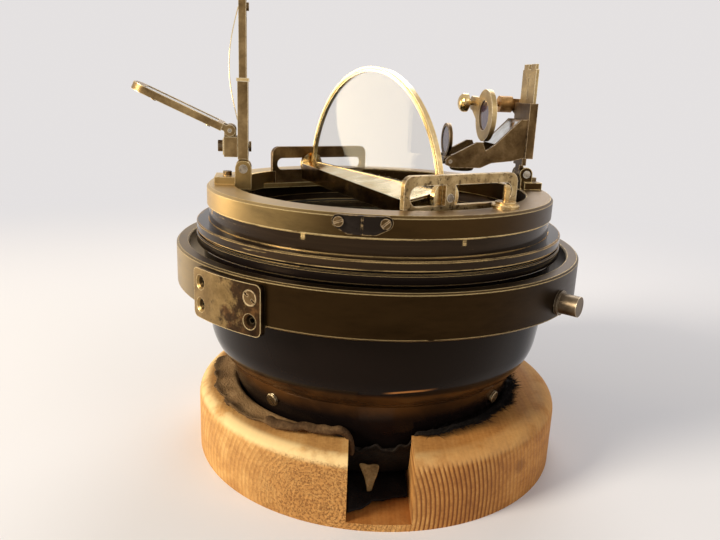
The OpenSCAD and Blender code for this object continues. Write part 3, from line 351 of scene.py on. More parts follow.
def wood():
    """Sawn pine. The log lies along Y, with its heart near the left of the notch."""
    k = Mat("pine_wood", Specular_IOR_Level=0.22)
    x, z = k.part("X"), k.part("Z")
    bend = k.noise(11, 3, 0.5, k.moved((1, 0.35, 1)))
    dx = k.plus(x, -LOG_X, k.times(bend, 0.007))
    dz = k.plus(z, -LOG_Z)
    heart = k.math("SQRT", k.plus(k.times(dx, dx), k.times(dz, dz)))
    wobbly = k.plus(heart, k.times(k.noise(60, 3, 0.6), 0.0010))
    year = k.math("FRACT", k.times(wobbly, YEARS_PER_METRE))
    late = k.times(k.band(year, 0.25, 0.80), k.rest(k.band(year, 0.86, 0.99)))
    side = k.rest(k.band(k.upward(), 0.35, 0.8))
    right = k.times(k.band(x, 0.015, 0.026), k.rest(k.band(x, 0.052, 0.082)))
    strength = k.plus(0.10, k.times(side, k.plus(0.11, k.times(right, 0.78))))
    fibres = k.noise(34, 6, 0.68, k.moved((3.2, 0.16, 3.2)))
    pores = k.noise(520, 3, 0.65)
    base = k.ramp(k.plus(k.times(fibres, 0.7), k.times(pores, 0.3)),
                  (0.32, (0.36, 0.160, 0.042)), (0.5, (0.55, 0.280, 0.082)),
                  (0.68, (0.69, 0.405, 0.145)))
    colour = k.mix(k.times(late, strength), base, (0.20, 0.070, 0.016))
    # rough, torn grain near the heart, on the sawn side
    near = k.times(k.rest(k.band(heart, 0.016, 0.052)), side)
    torn = k.band(k.noise(900, 3, 0.75), 0.50, 0.64)
    colour = k.mix(k.times(near, 0.55), colour, (0.45, 0.200, 0.050))
    colour = k.mix(k.times(near, torn, 0.75), colour, (0.27, 0.095, 0.020))
    # old dirt on the top; the rounded upper edge is pale, partly worn wood and partly a painted highlight
    # that fades towards the right
    stain = k.band(k.noise(22, 5, 0.65), 0.50, 0.72)
    colour = k.mix(k.times(stain, 0.30, k.rest(side)), colour, (0.30, 0.16, 0.06))
    out = k.radius()
    rounded = k.times(k.band(z, 0.0325, 0.0355), k.band(out, 0.0985, 0.1035))
    worn = k.times(rounded, k.band(k.noise(60, 4, 0.6), 0.30, 0.55),
                   k.rest(k.times(k.band(x, 0.0, 0.04), 0.6)))
    colour = k.mix(k.times(worn, 0.75), colour, (0.88, 0.64, 0.30))
    # painted shade: the wood is darker and warmer towards the right
    colour = k.mix(k.times(k.band(x, -0.005, 0.045), 0.75), colour,
                   k.mix(1.0, colour, (0.86, 0.66, 0.46), "MULTIPLY"))
    # painted shade on the floor of the notch
    left, right, soft = NOTCH_L * MM, NOTCH_R * MM, 0.0003
    notch = k.times(k.band(x, left, left + soft), k.rest(k.band(x, right - soft, right)),
                    k.rest(k.band(z, 0.0050, 0.0065)), k.band(k.upward(), 0.5, 0.9))
    colour = k.mix(k.times(notch, 0.9), colour, k.mix(1.0, colour, (0.62, 0.42, 0.26), "MULTIPLY"))
    # one knot on the right
    kx, kz = k.plus(x, -KNOT_X), k.plus(z, -KNOT_Z)
    knot = k.math("SQRT", k.plus(k.times(kx, kx, 1.6), k.times(kz, kz)))
    in_front = k.rest(k.band(k.part("Y"), -0.045, -0.035))
    knot = k.times(k.rest(k.band(k.plus(knot, k.times(pores, 0.003)), 0.0035, 0.0075)), in_front)
    colour = k.mix(k.times(knot, 0.65), colour, (0.24, 0.09, 0.025))
    rough = k.plus(k.times(late, side, 0.5), k.times(near, torn, 1.4), k.times(pores, side, 0.9),
                   k.times(fibres, 0.35))
    return k.look(colour, k.ramp(fibres, (0.3, 0.62), (0.7, 0.80)), None, k.bump(rough, 0.0006, 0.75))


def leather(name, dark, mid, light, flap=None):
    """Grained leather. With flap, the torn flap is lighter and has a dark ragged edge."""
    k = Mat(name, Specular_IOR_Level=0.12)
    big = k.noise(60, 5, 0.62, warp=0.5)
    fine = k.noise(620, 4, 0.7)
    grain = k.cells(1100)
    mottle = k.plus(k.times(big, 0.65), k.times(fine, 0.35))
    colour = k.ramp(mottle, (0.34, dark), (0.5, mid), (0.68, light))
    if flap:
        left = k.band(k.times(k.part("X"), -1.0), 0.016, 0.034)
        brim = k.times(k.band(k.part("Z"), 0.0375, 0.0388), left)
        edge = k.band(k.plus(k.radius(), k.times(fine, 0.004)), 0.0945, 0.0992)
        dirt = k.band(k.noise(150, 5, 0.7), 0.56, 0.70)
        tan = k.ramp(mottle, (0.32, flap[0]), (0.5, flap[1]), (0.68, flap[2]))
        tan = k.mix(k.times(edge, 0.75), tan, [v * 0.35 for v in flap[0]])
        colour = k.mix(brim, colour, k.mix(k.times(dirt, 0.5), tan, [v * 0.5 for v in flap[0]]))
    height = k.plus(k.times(grain, 0.7), k.times(fine, 0.9), k.times(big, 1.2))
    return k.look(colour, k.ramp(big, (0.3, 0.70), (0.7, 0.92)), None, k.bump(height, 0.0005, 0.85))


def glass(name, tint, rough=0.02, through=1.0, index=1.5):
    k = Mat(name, IOR=index, Transmission_Weight=through)
    k.b.inputs["Base Color"].default_value = (*tint, 1)
    smear = k.noise(40, 5, 0.65, warp=0.8)
    return k.look(None, k.ramp(smear, (0.48, rough), (0.78, rough + 0.08)))


def card_face():
    """Dark dial with a pale degree scale, worked out from the radius and the angle."""
    k = Mat("card_white", Specular_IOR_Level=0.3)
    r = k.radius()
    deg = k.times(k.math("ARCTAN2", k.part("X"), k.part("Y")), 180 / math.pi)

    def ticks(step, width_mm, low, high):
        near = k.math("PINGPONG", deg, step / 2)
        off = k.times(near, math.pi / 180, r)
        line = k.rest(k.band(off, width_mm * MM * 0.4, width_mm * MM * 0.6))
        return k.times(line, k.band(r, low - 0.0001, low + 0.0001),
                       k.rest(k.band(r, high - 0.0001, high + 0.0001)))

    def circle(at, width):
        off = k.math("ABSOLUTE", k.math("SUBTRACT", r, at))
        return k.rest(k.band(off, width * 0.4, width * 0.6))

    marks = ticks(2, 0.40, 0.0745, 0.0785)
    for more in (ticks(10, 0.6, 0.0715, 0.0785), circle(0.0787, 0.0006), circle(0.0743, 0.0003),
                 circle(0.0560, 0.0004), ticks(90, 1.6, 0.030, 0.055), ticks(45, 0.8, 0.036, 0.055),
                 circle(0.0290, 0.0005)):
        marks = k.math("MAXIMUM", marks, more)
    # a dark, mottled tone for the dial under its pale marks
    dial_tone = k.ramp(k.noise(30, 5, 0.6), (0.35, (0.030, 0.028, 0.017)), (0.65, (0.060, 0.055, 0.032)))
    return k.look(k.mix(marks, dial_tone, (0.62, 0.58, 0.42)),
                  k.ramp(k.noise(200, 2), (0, 0.45), (1, 0.65)))


def rubber():
    k = Mat("black_rubber")
    n = k.noise(300, 3, 0.6)
    return k.look(k.ramp(n, (0.3, 0.012), (0.7, 0.03)), 0.7, None, k.bump(n, 0.0001, 0.5))


def mirror():
    k = Mat("mirror_glass", Metallic=1.0)
    n = k.noise(70, 6, 0.7, warp=0.5)
    return k.look(k.ramp(n, (0.35, (0.72, 0.73, 0.72)), (0.7, (0.45, 0.42, 0.36))),
                  k.ramp(n, (0.3, 0.05), (0.75, 0.35)))


MATERIALS = {
    "pine_wood": wood(),
    "dark_leather": leather("dark_leather", (0.006, 0.004, 0.003), (0.013, 0.009, 0.006),
                            (0.030, 0.020, 0.012),
                            ((0.16, 0.084, 0.032), (0.30, 0.172, 0.072), (0.45, 0.280, 0.130))),
    "lip_leather": leather("lip_leather", (0.032, 0.015, 0.006), (0.085, 0.044, 0.018),
                           (0.19, 0.110, 0.048)),
    "black_fibre": leather("black_fibre", (0.006, 0.005, 0.005), (0.013, 0.010, 0.009),
                           (0.030, 0.024, 0.018)),
    "tan_leather": leather("tan_leather", (0.16, 0.095, 0.035), (0.33, 0.215, 0.090),
                           (0.50, 0.355, 0.170)),
    "black_paint": enamel("black_paint", (0.0062, 0.0042, 0.0032), (0.46, 0.28, 0.11), 0.15,
                          0.0010, 0.0, lines=0.55, gloss=0.10),
    "index_black": enamel("index_black", (0.0075, 0.0055, 0.0045), (0.50, 0.34, 0.16), 0.30,
                          0.0005, 0.0, lines=0.6, gloss=0.15, scale=120),
    "bezel_paint": enamel("bezel_paint", (0.0150, 0.0080, 0.0034), (0.70, 0.48, 0.20), 0.15,
                          0.0010, 0.80, (0.615, 0.700), 120, 0.006, 1.0, 0.20),
    "chipped_black": metal("chipped_black", (0.22, 0.140, 0.058), (0.42, 0.290, 0.130), (0.62, 0.455, 0.230),
                           (0.92, 0.76, 0.50), (0.30, 0.48), 110, 0.0007, 0.8,
                           spots=0.9, spot_colour=(0.070, 0.038, 0.018)),
    "plate_bronze": plate(),
    "worn_brass": ring_metal("worn_brass", (0.52, 0.345, 0.130), (0.058, 0.031, 0.010), (0.74, 0.52, 0.22),
                             (0.19, 0.115, 0.042), -0.095, 0.000, (0.88, 0.66, 0.31)),
    "tray_brass": tray(),
    "bowl_paint": bowl_paint(),
    "vane_brass": metal("vane_brass", (0.130, 0.078, 0.030), (0.235, 0.150, 0.062), (0.36, 0.245, 0.110),
                        (0.80, 0.64, 0.38), (0.32, 0.50), 70, 0.0006, 0.7),
    "pale_brass": metal("pale_brass", (0.22, 0.140, 0.055), (0.37, 0.255, 0.110), (0.52, 0.385, 0.190),
                        (0.86, 0.72, 0.48), (0.34, 0.52), 80, 0.0006, 0.7),
    "polished_brass": metal("polished_brass", (0.50, 0.33, 0.13), (0.72, 0.51, 0.23), (0.86, 0.67, 0.36),
                            (1.0, 0.88, 0.60), (0.14, 0.30), 60, 0.0006, 0.7, relief=0.00002),
    "brass": metal("brass", (0.40, 0.25, 0.09), (0.60, 0.40, 0.16), (0.76, 0.55, 0.26),
                   (0.95, 0.78, 0.46), (0.22, 0.42), 70, 0.0006, 0.6),
    "gimbal_bronze": ring_metal("gimbal_bronze", (0.44, 0.31, 0.140), (0.034, 0.018, 0.006),
                                (0.24, 0.155, 0.062), (0.070, 0.040, 0.015), -0.098, -0.070,
                                (0.82, 0.60, 0.27)),
    "dark_bronze": metal("dark_bronze", (0.045, 0.024, 0.009), (0.105, 0.061, 0.024), (0.20, 0.125, 0.054),
                         (0.66, 0.48, 0.27), (0.32, 0.52), 80, 0.0006, 0.6),
    "screw_brass": metal("screw_brass", (0.075, 0.045, 0.020), (0.18, 0.118, 0.054), (0.32, 0.220, 0.110),
                         (0.85, 0.72, 0.48), (0.28, 0.5), 160, 0.0003, 0.8),
    "dark_steel": metal("dark_steel", (0.070, 0.050, 0.030), (0.135, 0.098, 0.060), (0.22, 0.165, 0.105),
                        (0.66, 0.54, 0.38), (0.3, 0.5), 90, 0.0005, 0.8),
    "pin_steel": metal("pin_steel", (0.20, 0.16, 0.11), (0.36, 0.30, 0.22), (0.55, 0.48, 0.38),
                       (0.9, 0.85, 0.75), (0.22, 0.42), 160, 0.0003, 0.7),
    "magnet_steel": metal("magnet_steel", (0.10, 0.10, 0.10), (0.2, 0.2, 0.2), (0.34, 0.34, 0.34),
                          (0.6, 0.6, 0.6), (0.3, 0.5), 60),
    "lead": metal("lead", (0.12, 0.12, 0.13), (0.2, 0.2, 0.21), (0.3, 0.3, 0.31), (0.5, 0.5, 0.5),
                  (0.5, 0.7), 60),
    "clear_glass": glass("clear_glass", (0.90, 0.95, 0.88), 0.01),
    "tinted_glass": glass("tinted_glass", (0.97, 0.90, 0.88), 0.01, 1.0, 1.65),
    "shade_glass": glass("shade_glass", (0.11, 0.070, 0.085), 0.04, 0.7),
    "pane_glass": glass("pane_glass", (0.88, 0.86, 0.82), 0.01, 1.0, 1.15),
    "mirror_glass": mirror(),
    "black_rubber": rubber(),
    "card_white": card_face(),
}


def knobs():
    """The shade rod: bright brass, with the knob at the vane brown and matt."""
    k = Mat("rod_brass", Metallic=1.0)
    along = k.part("X", k.moved((1, 1, 1), -SIGHT_TURN))
    inner = k.band(along, 0.066, 0.067)
    n, fine = k.noise(160, 5, 0.65), k.noise(900, 3, 0.7)
    bright = k.ramp(n, (0.35, (0.46, 0.30, 0.11)), (0.65, (0.86, 0.66, 0.34)))
    brown = k.ramp(n, (0.35, (0.22, 0.11, 0.035)), (0.65, (0.46, 0.27, 0.10)))
    rr = k.plus(0.16, k.times(inner, 0.30), k.times(fine, 0.12))
    return k.look(k.mix(inner, bright, brown), rr, None, k.bump(fine, 0.00008, 0.5))


MATERIALS["rod_brass"] = knobs()
slot_of = {p["node"]: p["material_slot"] for p in frame["record"]["subparts"]}
FINISH = {"verge_ring": "bezel_paint", "glass_tray": "tray_brass", "index_plate": "index_black",
          "index_screws": "dark_bronze", "plate_screws": "dark_bronze",
          "glass_pane": "pane_glass",
          "bearing_plates": "plate_bronze", "thread_frame": "vane_brass",
          "mirror_frame": "vane_brass", "mirror_slider": "vane_brass", "slit_plate": "pale_brass",
          "large_shade": "pale_brass", "shade_rod": "rod_brass", "handle_far": "dark_bronze"}
for name, obj in nodes.items():
    obj.data.materials.clear()
    obj.data.materials.append(MATERIALS[FINISH.get(name, slot_of[name])])


def piece(name, points, faces, body, material, smooth=True):
    """A new mesh from points in millimetres, riding on a body."""
    mesh = bpy.data.meshes.new(name)
    mesh.from_pydata([Vector(p) * MM for p in points], [], faces)
    mesh.validate()
    for poly in mesh.polygons:
        poly.use_smooth = smooth
    mesh.materials.append(MATERIALS[material])
    obj = bpy.data.objects.new(name, mesh)
    scene.collection.objects.link(obj)
    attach(obj, body)
    return obj


def thicken(obj, thickness_mm, levels=1):
    solid = obj.modifiers.new("thickness", "SOLIDIFY")
    solid.thickness = thickness_mm * MM
    solid.offset = 0.0
    round_off = obj.modifiers.new("smooth", "SUBSURF")
    round_off.levels = round_off.render_levels = levels


def area_of(obj):
    bm = bmesh.new()
    bm.from_mesh(obj.data)
    total = sum(f.calc_area() for f in bm.faces)
    bm.free()
    return total


def wave(*terms):
    """A smooth made-up height: the mean of sines of the given angles."""
    return sum(math.sin(t) for t in terms) / len(terms)


# Leather liner: one skin that lines the pocket and turns out over the wood
def torn_radius(a):
    def step(lo, hi):
        t = min(1, max(0, (a - lo) / (hi - lo)))
        return t * t * (3 - 2 * t)
    r = FRINGE_R + (FLAP_R - FRINGE_R) * step(-128, -112) * (1 - step(-40, -13))
    tear = max(0, wave(0.31 * a, 0.173 * a + 1, 0.52 * a + 2) - 0.25)
    return r + 1.1 * wave(0.33 * a) + 0.8 * wave(0.85 * a, 1.7 * a + 1) - 4.5 * tear


def liner_points(columns):
    rows = []
    for i in range(columns):
        a = -180 + 360 * i / columns
        column = [(22.0, FOOT_Z - 1.2), (40.0, FOOT_Z - 1.2)]
        for j in range(9):
            b = math.radians(-90 + 90 * j / 8)
            column.append((NECK_R - FOOT_ROUND + (FOOT_ROUND + 1.2) * math.cos(b),
                           FOOT_Z + FOOT_ROUND + (FOOT_ROUND + 1.2) * math.sin(b)))
        column += [(NECK_R + 2.6, 34.8), (NECK_R + 3.5, 37.4), (NECK_R + 4.9, 39.3)]
        edge = torn_radius(a)
        inner = column[-1][0]
        right = 1.0 if 12 < a < 105 else 0.0
        for j in range(1, 9):
            t = j / 8
            relief = wave(0.21 * a + 2 * t, 0.4 * a - 3 * t, 0.11 * a + 5 * t)
            curl = max(0, wave(0.23 * a, 0.47 * a + 1)) * 3.4 * t ** 3
            z = BASE_H + 1.35 + 0.25 * relief * (1 - t) + 0.9 * t * max(0, relief) + curl
            z += right * (1.3 * max(0, wave(1.9 * a + 3 * t, 3.1 * a)) + 0.5)
            column.append((inner + (edge - inner) * t, z))
        rows.append([(r * math.sin(math.radians(a)), -r * math.cos(math.radians(a)), z)
                     for r, z in column])
    return rows


COLUMNS = 240
skin = liner_points(COLUMNS)
high = len(skin[0])
first_brim = high - 9
for i, column in enumerate(skin):
    for j, (x, y, z) in enumerate(column):
        if y < 0 and NOTCH_L < x < NOTCH_R and j >= first_brim - 2 and y < -70:
            # no brim over the notch; the wall's edge is low and ragged there
            z = min(z, 29.5 + 3.5 * wave(0.9 * i, 2.3 * i + j) + (j - first_brim + 2) * 1.2)
        column[j] = (x, y, z)


def over_notch(i):
    x, y, z = skin[i % COLUMNS][first_brim]
    return y < 0 and NOTCH_L - 0.4 < x < NOTCH_R + 0.4


points = [p for column in skin for p in column]
faces = []
for i in range(COLUMNS):
    k = (i + 1) % COLUMNS
    for j in range(high - 1):
        if j >= first_brim and (over_notch(i) or over_notch(k)):
            continue
        faces.append((i * high + j, k * high + j, k * high + j + 1, i * high + j + 1))
points.append((0, 0, FOOT_Z - 1.2))
faces += [(len(points) - 1, ((i + 1) % COLUMNS) * high, i * high) for i in range(COLUMNS)]
liner = piece("leather_cup", points, faces, "base", "dark_leather")
liner_area = area_of(liner)
thicken(liner, 1.5)
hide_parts("leather_liner")

# Tongue of the liner on the floor of the notch
points, faces = [], []
for i in range(23):
    x = NOTCH_L + 0.5 + (NOTCH_R - NOTCH_L - 1.0) * i / 22
    reach = -NECK_R - 7.5 - 17 * (1 - i / 22) ** 1.4 + 1.2 * wave(0.9 * i, 2.3 * i)
    for j in range(13):
        t = j / 12
        y = -58 + (reach + 58) * t
        lump = max(0, wave(0.45 * x + 1, 0.31 * y, 0.2 * x * t)) * 4.0 * t * (1 - 0.4 * t)
        points.append((x, y, 5.2 + lump + 0.5 * t))
for i in range(22):
    for j in range(12):
        faces.append((i * 13 + j, (i + 1) * 13 + j, (i + 1) * 13 + j + 1, i * 13 + j + 1))
tongue = piece("leather_tongue", points, faces, "base", "black_fibre")
thicken(tongue, 1.4)
min(area_of(tongue), 0.034 * 0.048)

# Rolled lip of the flap: a creased roll that runs into the notch
path = []
for i in range(31):
    a = -36 + 25 * i / 30
    narrowing = min(1, max(0, (a + 40) / 27))
    r = torn_radius(a) * 0.35 + (FRINGE_R + (FLAP_R - FRINGE_R) * (1 - narrowing)) * 0.65
    path.append(Vector((r * math.sin(math.radians(a)), -r * math.cos(math.radians(a)),
                        BASE_H + 4.3 + 0.7 * wave(0.5 * i, 0.9 * i))))
last = path[-1]
path += [last + Vector(step) for step in
         ((2.6, 0.6, -1.6), (4.6, 1.0, -4.4), (5.8, 1.2, -8.2), (6.2, 1.3, -12.0), (6.0, 1.2, -15.0))]
SIDES = 16
points, faces = [], []
for i, centre in enumerate(path):
    ahead = path[min(i + 1, len(path) - 1)] - path[max(i - 1, 0)]
    ahead.normalize()
    out = ahead.cross(Vector((0, 0, 1)) if abs(ahead.z) < 0.9 else Vector((1, 0, 0))).normalized()
    up = out.cross(ahead).normalized()
    thick = 2.5 * (0.80 if i == 0 else 1.0) * (1 + 0.10 * wave(1.1 * i, 0.37 * i))
    if i > 31:
        thick *= 1 - 0.10 * (i - 31)
    for s in range(SIDES):
        b = 2 * math.pi * s / SIDES
        crease = 1 + 0.09 * math.sin(3 * b + 0.4 * i) + 0.06 * math.sin(7 * b + 1.3 * i)
        points.append(centre + out * (1.12 * thick * crease * math.cos(b))
                      + up * (0.86 * thick * crease * math.sin(b)))
for i in range(len(path) - 1):
    for s in range(SIDES):
        t = (s + 1) % SIDES
        faces.append((i * SIDES + s, i * SIDES + t, (i + 1) * SIDES + t, (i + 1) * SIDES + s))
faces.append(tuple(range(SIDES - 1, -1, -1)))
faces.append(tuple((len(path) - 1) * SIDES + s for s in range(SIDES)))
lip = piece("rolled_lip", points, faces, "base", "lip_leather")
soften = lip.modifiers.new("smooth", "SUBSURF")
soften.levels = soften.render_levels = 1
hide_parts("liner_lip")

# Tan scrap that stands in the notch, leaning on the lining
points, faces = [], []
for i in range(9):
    for j in range(11):
        v = j / 10
        left, right = -1.6 - 5.0 * v ** 1.6, 0.8 + 5.2 * v ** 1.1 - 1.6 * v ** 4
        x = left + (right - left) * i / 8
        tall = 14.5 + 0.9 * wave(1.3 * i, 0.8 * i + 1)
        points.append((BASE_SHIFT - 4.2 + x, -86.6 + 2.6 * v + 0.7 * math.sin(0.5 * x + 2 * v),
                       7.4 + tall * v))
for i in range(8):
    for j in range(10):
        faces.append((i * 11 + j, (i + 1) * 11 + j, (i + 1) * 11 + j + 1, i * 11 + j + 1))
scrap = piece("tan_scrap", points, faces, "base", "tan_leather")
scrap_area = area_of(scrap)
thicken(scrap, 1.1)
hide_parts("liner_patch")

# Black fibres along the frayed edge on the right, and a few on the left
dice = random.Random(7)
points, faces = [], []


def strand(root, way, length, thick):
    steps = 4
    side = way.cross(Vector((0, 0, 1))).normalized() * thick
    up = Vector((0, 0, thick))
    bend = Vector((dice.uniform(-1, 1), dice.uniform(-1, 1), dice.uniform(-0.5, 0.9))) * length * 0.35
    start = len(points)
    for n in range(steps):
        t = n / (steps - 1)
        centre = root + way * (length * t) + bend * (t * t)
        w = 1 - 0.85 * t
        points.extend([centre + side * w, centre - side * w, centre + up * w * 1.4])
    for n in range(steps - 1):
        b = start + 3 * n
        for p, q in ((0, 1), (1, 2), (2, 0)):
            faces.append((b + p, b + q, b + 3 + q, b + 3 + p))


for n in range(1500):
    on_right = n < 1320
    a = math.radians(dice.triangular(14, 104, 58) if on_right else dice.uniform(-150, -20))
    edge = torn_radius(math.degrees(a))
    r = dice.uniform(85.5, edge + 1.0) if on_right else edge - dice.uniform(0, 1.5)
    rise = BASE_H + (1.6 if on_right else 1.2) + dice.uniform(0, 1.6)
    root = Vector((r * math.sin(a), -r * math.cos(a), rise))
    if root.y < 0 and NOTCH_L < root.x < NOTCH_R:
        continue
    out = Vector((math.sin(a), -math.cos(a), 0))
    along = Vector((math.cos(a), math.sin(a), 0))
    way = (out * dice.uniform(0.1, 1.0) + along * dice.uniform(-1, 1)
           + Vector((0, 0, dice.uniform(-0.15, 0.75 if on_right else 0.25)))).normalized()
    strand(root, way, dice.uniform(2.0, 6.0) if on_right else dice.uniform(1.0, 2.4),
           dice.uniform(0.14, 0.30) if on_right else 0.12)
fibres = piece("frayed_fibres", points, faces, "base", "black_fibre")

# Bowl's side with its round shoulder, and the cap below it, turned in one
BOWL_R, FLANGE_R, FLANGE_Z, FLANGE_TOP, BEZEL_Z = 102.2, 106.1, 126.0, 131.2, 133.0
SEAT_R, SEAT_Z, SEAT_LOW, GLASS_SEAT, CURVE_R, WALL = 86.0, 128.5, 122.0, 90.3, 346.0, 3.0
SPIGOT_R = FLANGE_R - 2.1
SHOULDER_Z, SHOULDER_R, LEAN = 76.0, 30.0, 52.0
SEAM_R, SEAM_Z = 87.4, 56.7
CONE_LOW_R, CONE_LOW_Z, CONE_R, CONE_Z = NECK_R + 2, 38.5, NECK_R + 4.5, 43.5


def side_r(z):
    return BOWL_R - CURVE_R + math.sqrt(CURVE_R ** 2 - (FLANGE_Z - z) ** 2)


def arc(cx, cz, radius, a0, a1, n):
    return [(cx + radius * math.cos(math.radians(a0 + (a1 - a0) * i / n)),
             cz + radius * math.sin(math.radians(a0 + (a1 - a0) * i / n))) for i in range(n + 1)]


slope = math.degrees(math.asin((FLANGE_Z - SHOULDER_Z) / CURVE_R))
shoulder_x = side_r(SHOULDER_Z) - SHOULDER_R * math.cos(math.radians(slope))
shoulder_z = SHOULDER_Z + SHOULDER_R * math.sin(math.radians(slope))
foot_x = NECK_R - FOOT_ROUND
outer = ([(0.01, FOOT_Z)] + arc(foot_x, FOOT_Z + FOOT_ROUND, FOOT_ROUND, -90, 0, 10)
         + [(CONE_LOW_R, CONE_LOW_Z), (CONE_R, CONE_Z), (SEAM_R - 0.2, SEAM_Z - 0.6),
            (SEAM_R - 0.5, SEAM_Z - 0.3), (SEAM_R - 0.1, SEAM_Z - 0.1)]
         + arc(shoulder_x, shoulder_z, SHOULDER_R, -LEAN, -slope, 14)
         + [(side_r(z), z) for z in range(79, 126, 3)]
         + [(BOWL_R, FLANGE_Z), (FLANGE_R - 0.5, FLANGE_Z), (FLANGE_R, FLANGE_Z + 0.5),
            (FLANGE_R, FLANGE_TOP - 0.6), (FLANGE_R - 0.6, FLANGE_TOP), (SPIGOT_R, FLANGE_TOP),
            (SPIGOT_R, BEZEL_Z)])
inner = ([(GLASS_SEAT, BEZEL_Z), (GLASS_SEAT, SEAT_Z), (SEAT_R, SEAT_Z), (SEAT_R, SEAT_LOW),
          (side_r(SEAT_LOW) - WALL, SEAT_LOW)]
         + [(side_r(z) - WALL, z) for z in range(119, 78, -4)]
         + arc(shoulder_x, shoulder_z, SHOULDER_R - WALL, -slope, -LEAN, 8)
         + [(SEAM_R - WALL, SEAM_Z - 1), (CONE_R - WALL, CONE_Z), (CONE_LOW_R - WALL, CONE_LOW_Z)]
         + arc(foot_x, FOOT_Z + FOOT_ROUND, FOOT_ROUND - WALL, 0, -90, 8) + [(0.01, FOOT_Z + WALL)])


def lathe(name, profile, body, material, columns=256, sharp=30):
    """A turned piece from its profile of (radius, height); edges above sharp stay hard."""
    points, faces = [], []
    for i in range(columns):
        a = 2 * math.pi * i / columns
        points += [(r * math.sin(a), -r * math.cos(a), z) for r, z in profile]
    n = len(profile)
    for i in range(columns):
        b, c = i * n, (i + 1) % columns * n
        faces += [(b + j, c + j, c + j + 1, b + j + 1) for j in range(n - 1)]
    obj = piece(name, points, faces, body, material)
    obj.data.set_sharp_from_angle(angle=math.radians(sharp))
    return obj


bowl = lathe("bowl_side", outer + inner, "bowl", "bowl_paint")
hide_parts("bowl_shell", "bottom_cap")

# The four slotted screws of the cap, on its cone
SCREW_Z, HEAD_R, HEAD_H, HALF_SLOT = 49.0, 3.6, 1.8, 0.5
points, faces = [], []


def slotted_head(centre, out, turn, radius, height, gap):
    """A cheese head: a round foot and two halves of a disc beside the slot."""
    side = out.cross(Vector((0, 0, 1))).normalized()
    up = side.cross(out).normalized()
    side, up = (side * math.cos(turn) + up * math.sin(turn),
                up * math.cos(turn) - side * math.sin(turn))

    def prism(loop, low, top):
        start, n = len(points), len(loop)
        for depth, shrink in ((low, 1.0), (top - 0.3, 1.0), (top, 0.90)):
            points.extend([centre + side * x * shrink + up * y * shrink + out * depth for x, y in loop])
        for step in (0, n):
            faces.extend([(start + step + i, start + step + (i + 1) % n,
                           start + step + n + (i + 1) % n, start + step + n + i) for i in range(n)])
        faces.append(tuple(start + 2 * n + i for i in range(n)))
        faces.append(tuple(start + i for i in range(n - 1, -1, -1)))

    round_off = [2 * math.pi * i / 32 for i in range(32)]
    whole = [(radius * math.cos(b), radius * math.sin(b)) for b in round_off]
    prism(whole, -1.5, height * 0.5)
    low = math.asin(gap / radius)
    for flip in (1, -1):
        half = [(flip * radius * math.cos(low + (math.pi - 2 * low) * i / 16),
                 flip * radius * math.sin(low + (math.pi - 2 * low) * i / 16)) for i in range(17)]
        prism(half, height * 0.4, height)


for i in range(4):
    a = math.radians(PIN_TURN + 90 * i)
    r = CONE_R + (SEAM_R - CONE_R) * (SCREW_Z - CONE_Z) / (SEAM_Z - CONE_Z)
    out = Vector((math.sin(a), -math.cos(a), -0.2)).normalized()
    centre = Vector((r * math.sin(a), -r * math.cos(a), SCREW_Z))
    slotted_head(centre, out, 0.9 + i, HEAD_R, HEAD_H, HALF_SLOT)
cap_heads = piece("cap_screw_heads", points, faces, "bowl", "screw_brass", False)
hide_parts("cap_screws")

# Numbers and the north mark of the dial
NUMBER_R = 65.5
dial = bmesh.new()
for degrees in range(0, 360, 30):
    text = bpy.data.curves.new("number", "FONT")
    text.body = str(degrees)
    text.size = 0.0085
    text.align_x = "CENTER"
    text.align_y = "CENTER"
    text.extrude = 0.00005
    holder = bpy.data.objects.new("number", text)
    scene.collection.objects.link(holder)
    bpy.context.view_layer.update()
    solved = holder.evaluated_get(bpy.context.evaluated_depsgraph_get())
    shape = bpy.data.meshes.new_from_object(solved)
    a = math.radians(degrees)
    place = Vector((NUMBER_R * math.sin(a), NUMBER_R * math.cos(a), CARD_TOP + 0.08)) * MM
    shape.transform(Matrix.Translation(place) @ Matrix.Rotation(-a, 4, "Z"))
    dial.from_mesh(shape)
    bpy.data.objects.remove(holder)
    bpy.data.curves.remove(text)
    bpy.data.meshes.remove(shape)
tip = [dial.verts.new(Vector((x, y, CARD_TOP + 0.12)) * MM) for x, y in
       ((0, 54), (-4.2, 37), (0, 40.5), (4.2, 37))]
dial.faces.new(tip)
dial_mesh = bpy.data.meshes.new("dial_marks")
dial.to_mesh(dial_mesh)
dial.free()
ink = Mat("dial_ink", Specular_IOR_Level=0.2)
ink_colour = ink.ramp(ink.noise(400, 3, 0.6), (0.3, (0.42, 0.39, 0.27)), (0.7, (0.64, 0.60, 0.44)))
dial_mesh.materials.append(ink.look(ink_colour, 0.6, None, ink.bump(ink.noise(900, 2), 0.00003, 0.4)))
dial_marks = bpy.data.objects.new("dial_marks", dial_mesh)
scene.collection.objects.link(dial_marks)
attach(dial_marks, "card")

# Floor, which fades into the pale surround with no line at the horizon
PALE = (0.78, 0.755, 0.755)
floor_mesh = bpy.data.meshes.new("floor")
floor_mesh.from_pydata([(-6, -6, 0), (6, -6, 0), (6, 6, 0), (-6, 6, 0)], [], [(0, 1, 2, 3)])
floor = bpy.data.objects.new("floor", floor_mesh)
scene.collection.objects.link(floor)
f = Mat("floor_pale")
floor_mesh.materials.append(f.look(f.ramp(f.noise(3, 3), (0.3, [v * 0.985 for v in PALE]), (0.7, PALE)), 0.9))
glow = f.add("ShaderNodeEmission")
glow.inputs["Color"].default_value = (*PALE, 1)
path_node = f.add("ShaderNodeLightPath")
seen = f.math("MAXIMUM", path_node.outputs["Is Camera Ray"],
              f.math("MAXIMUM", path_node.outputs["Is Glossy Ray"],
                     path_node.outputs["Is Transmission Ray"]))
blend = f.add("ShaderNodeMixShader")
f.put(blend.inputs[0], f.times(f.band(f.radius(), 0.22, 0.95), seen))
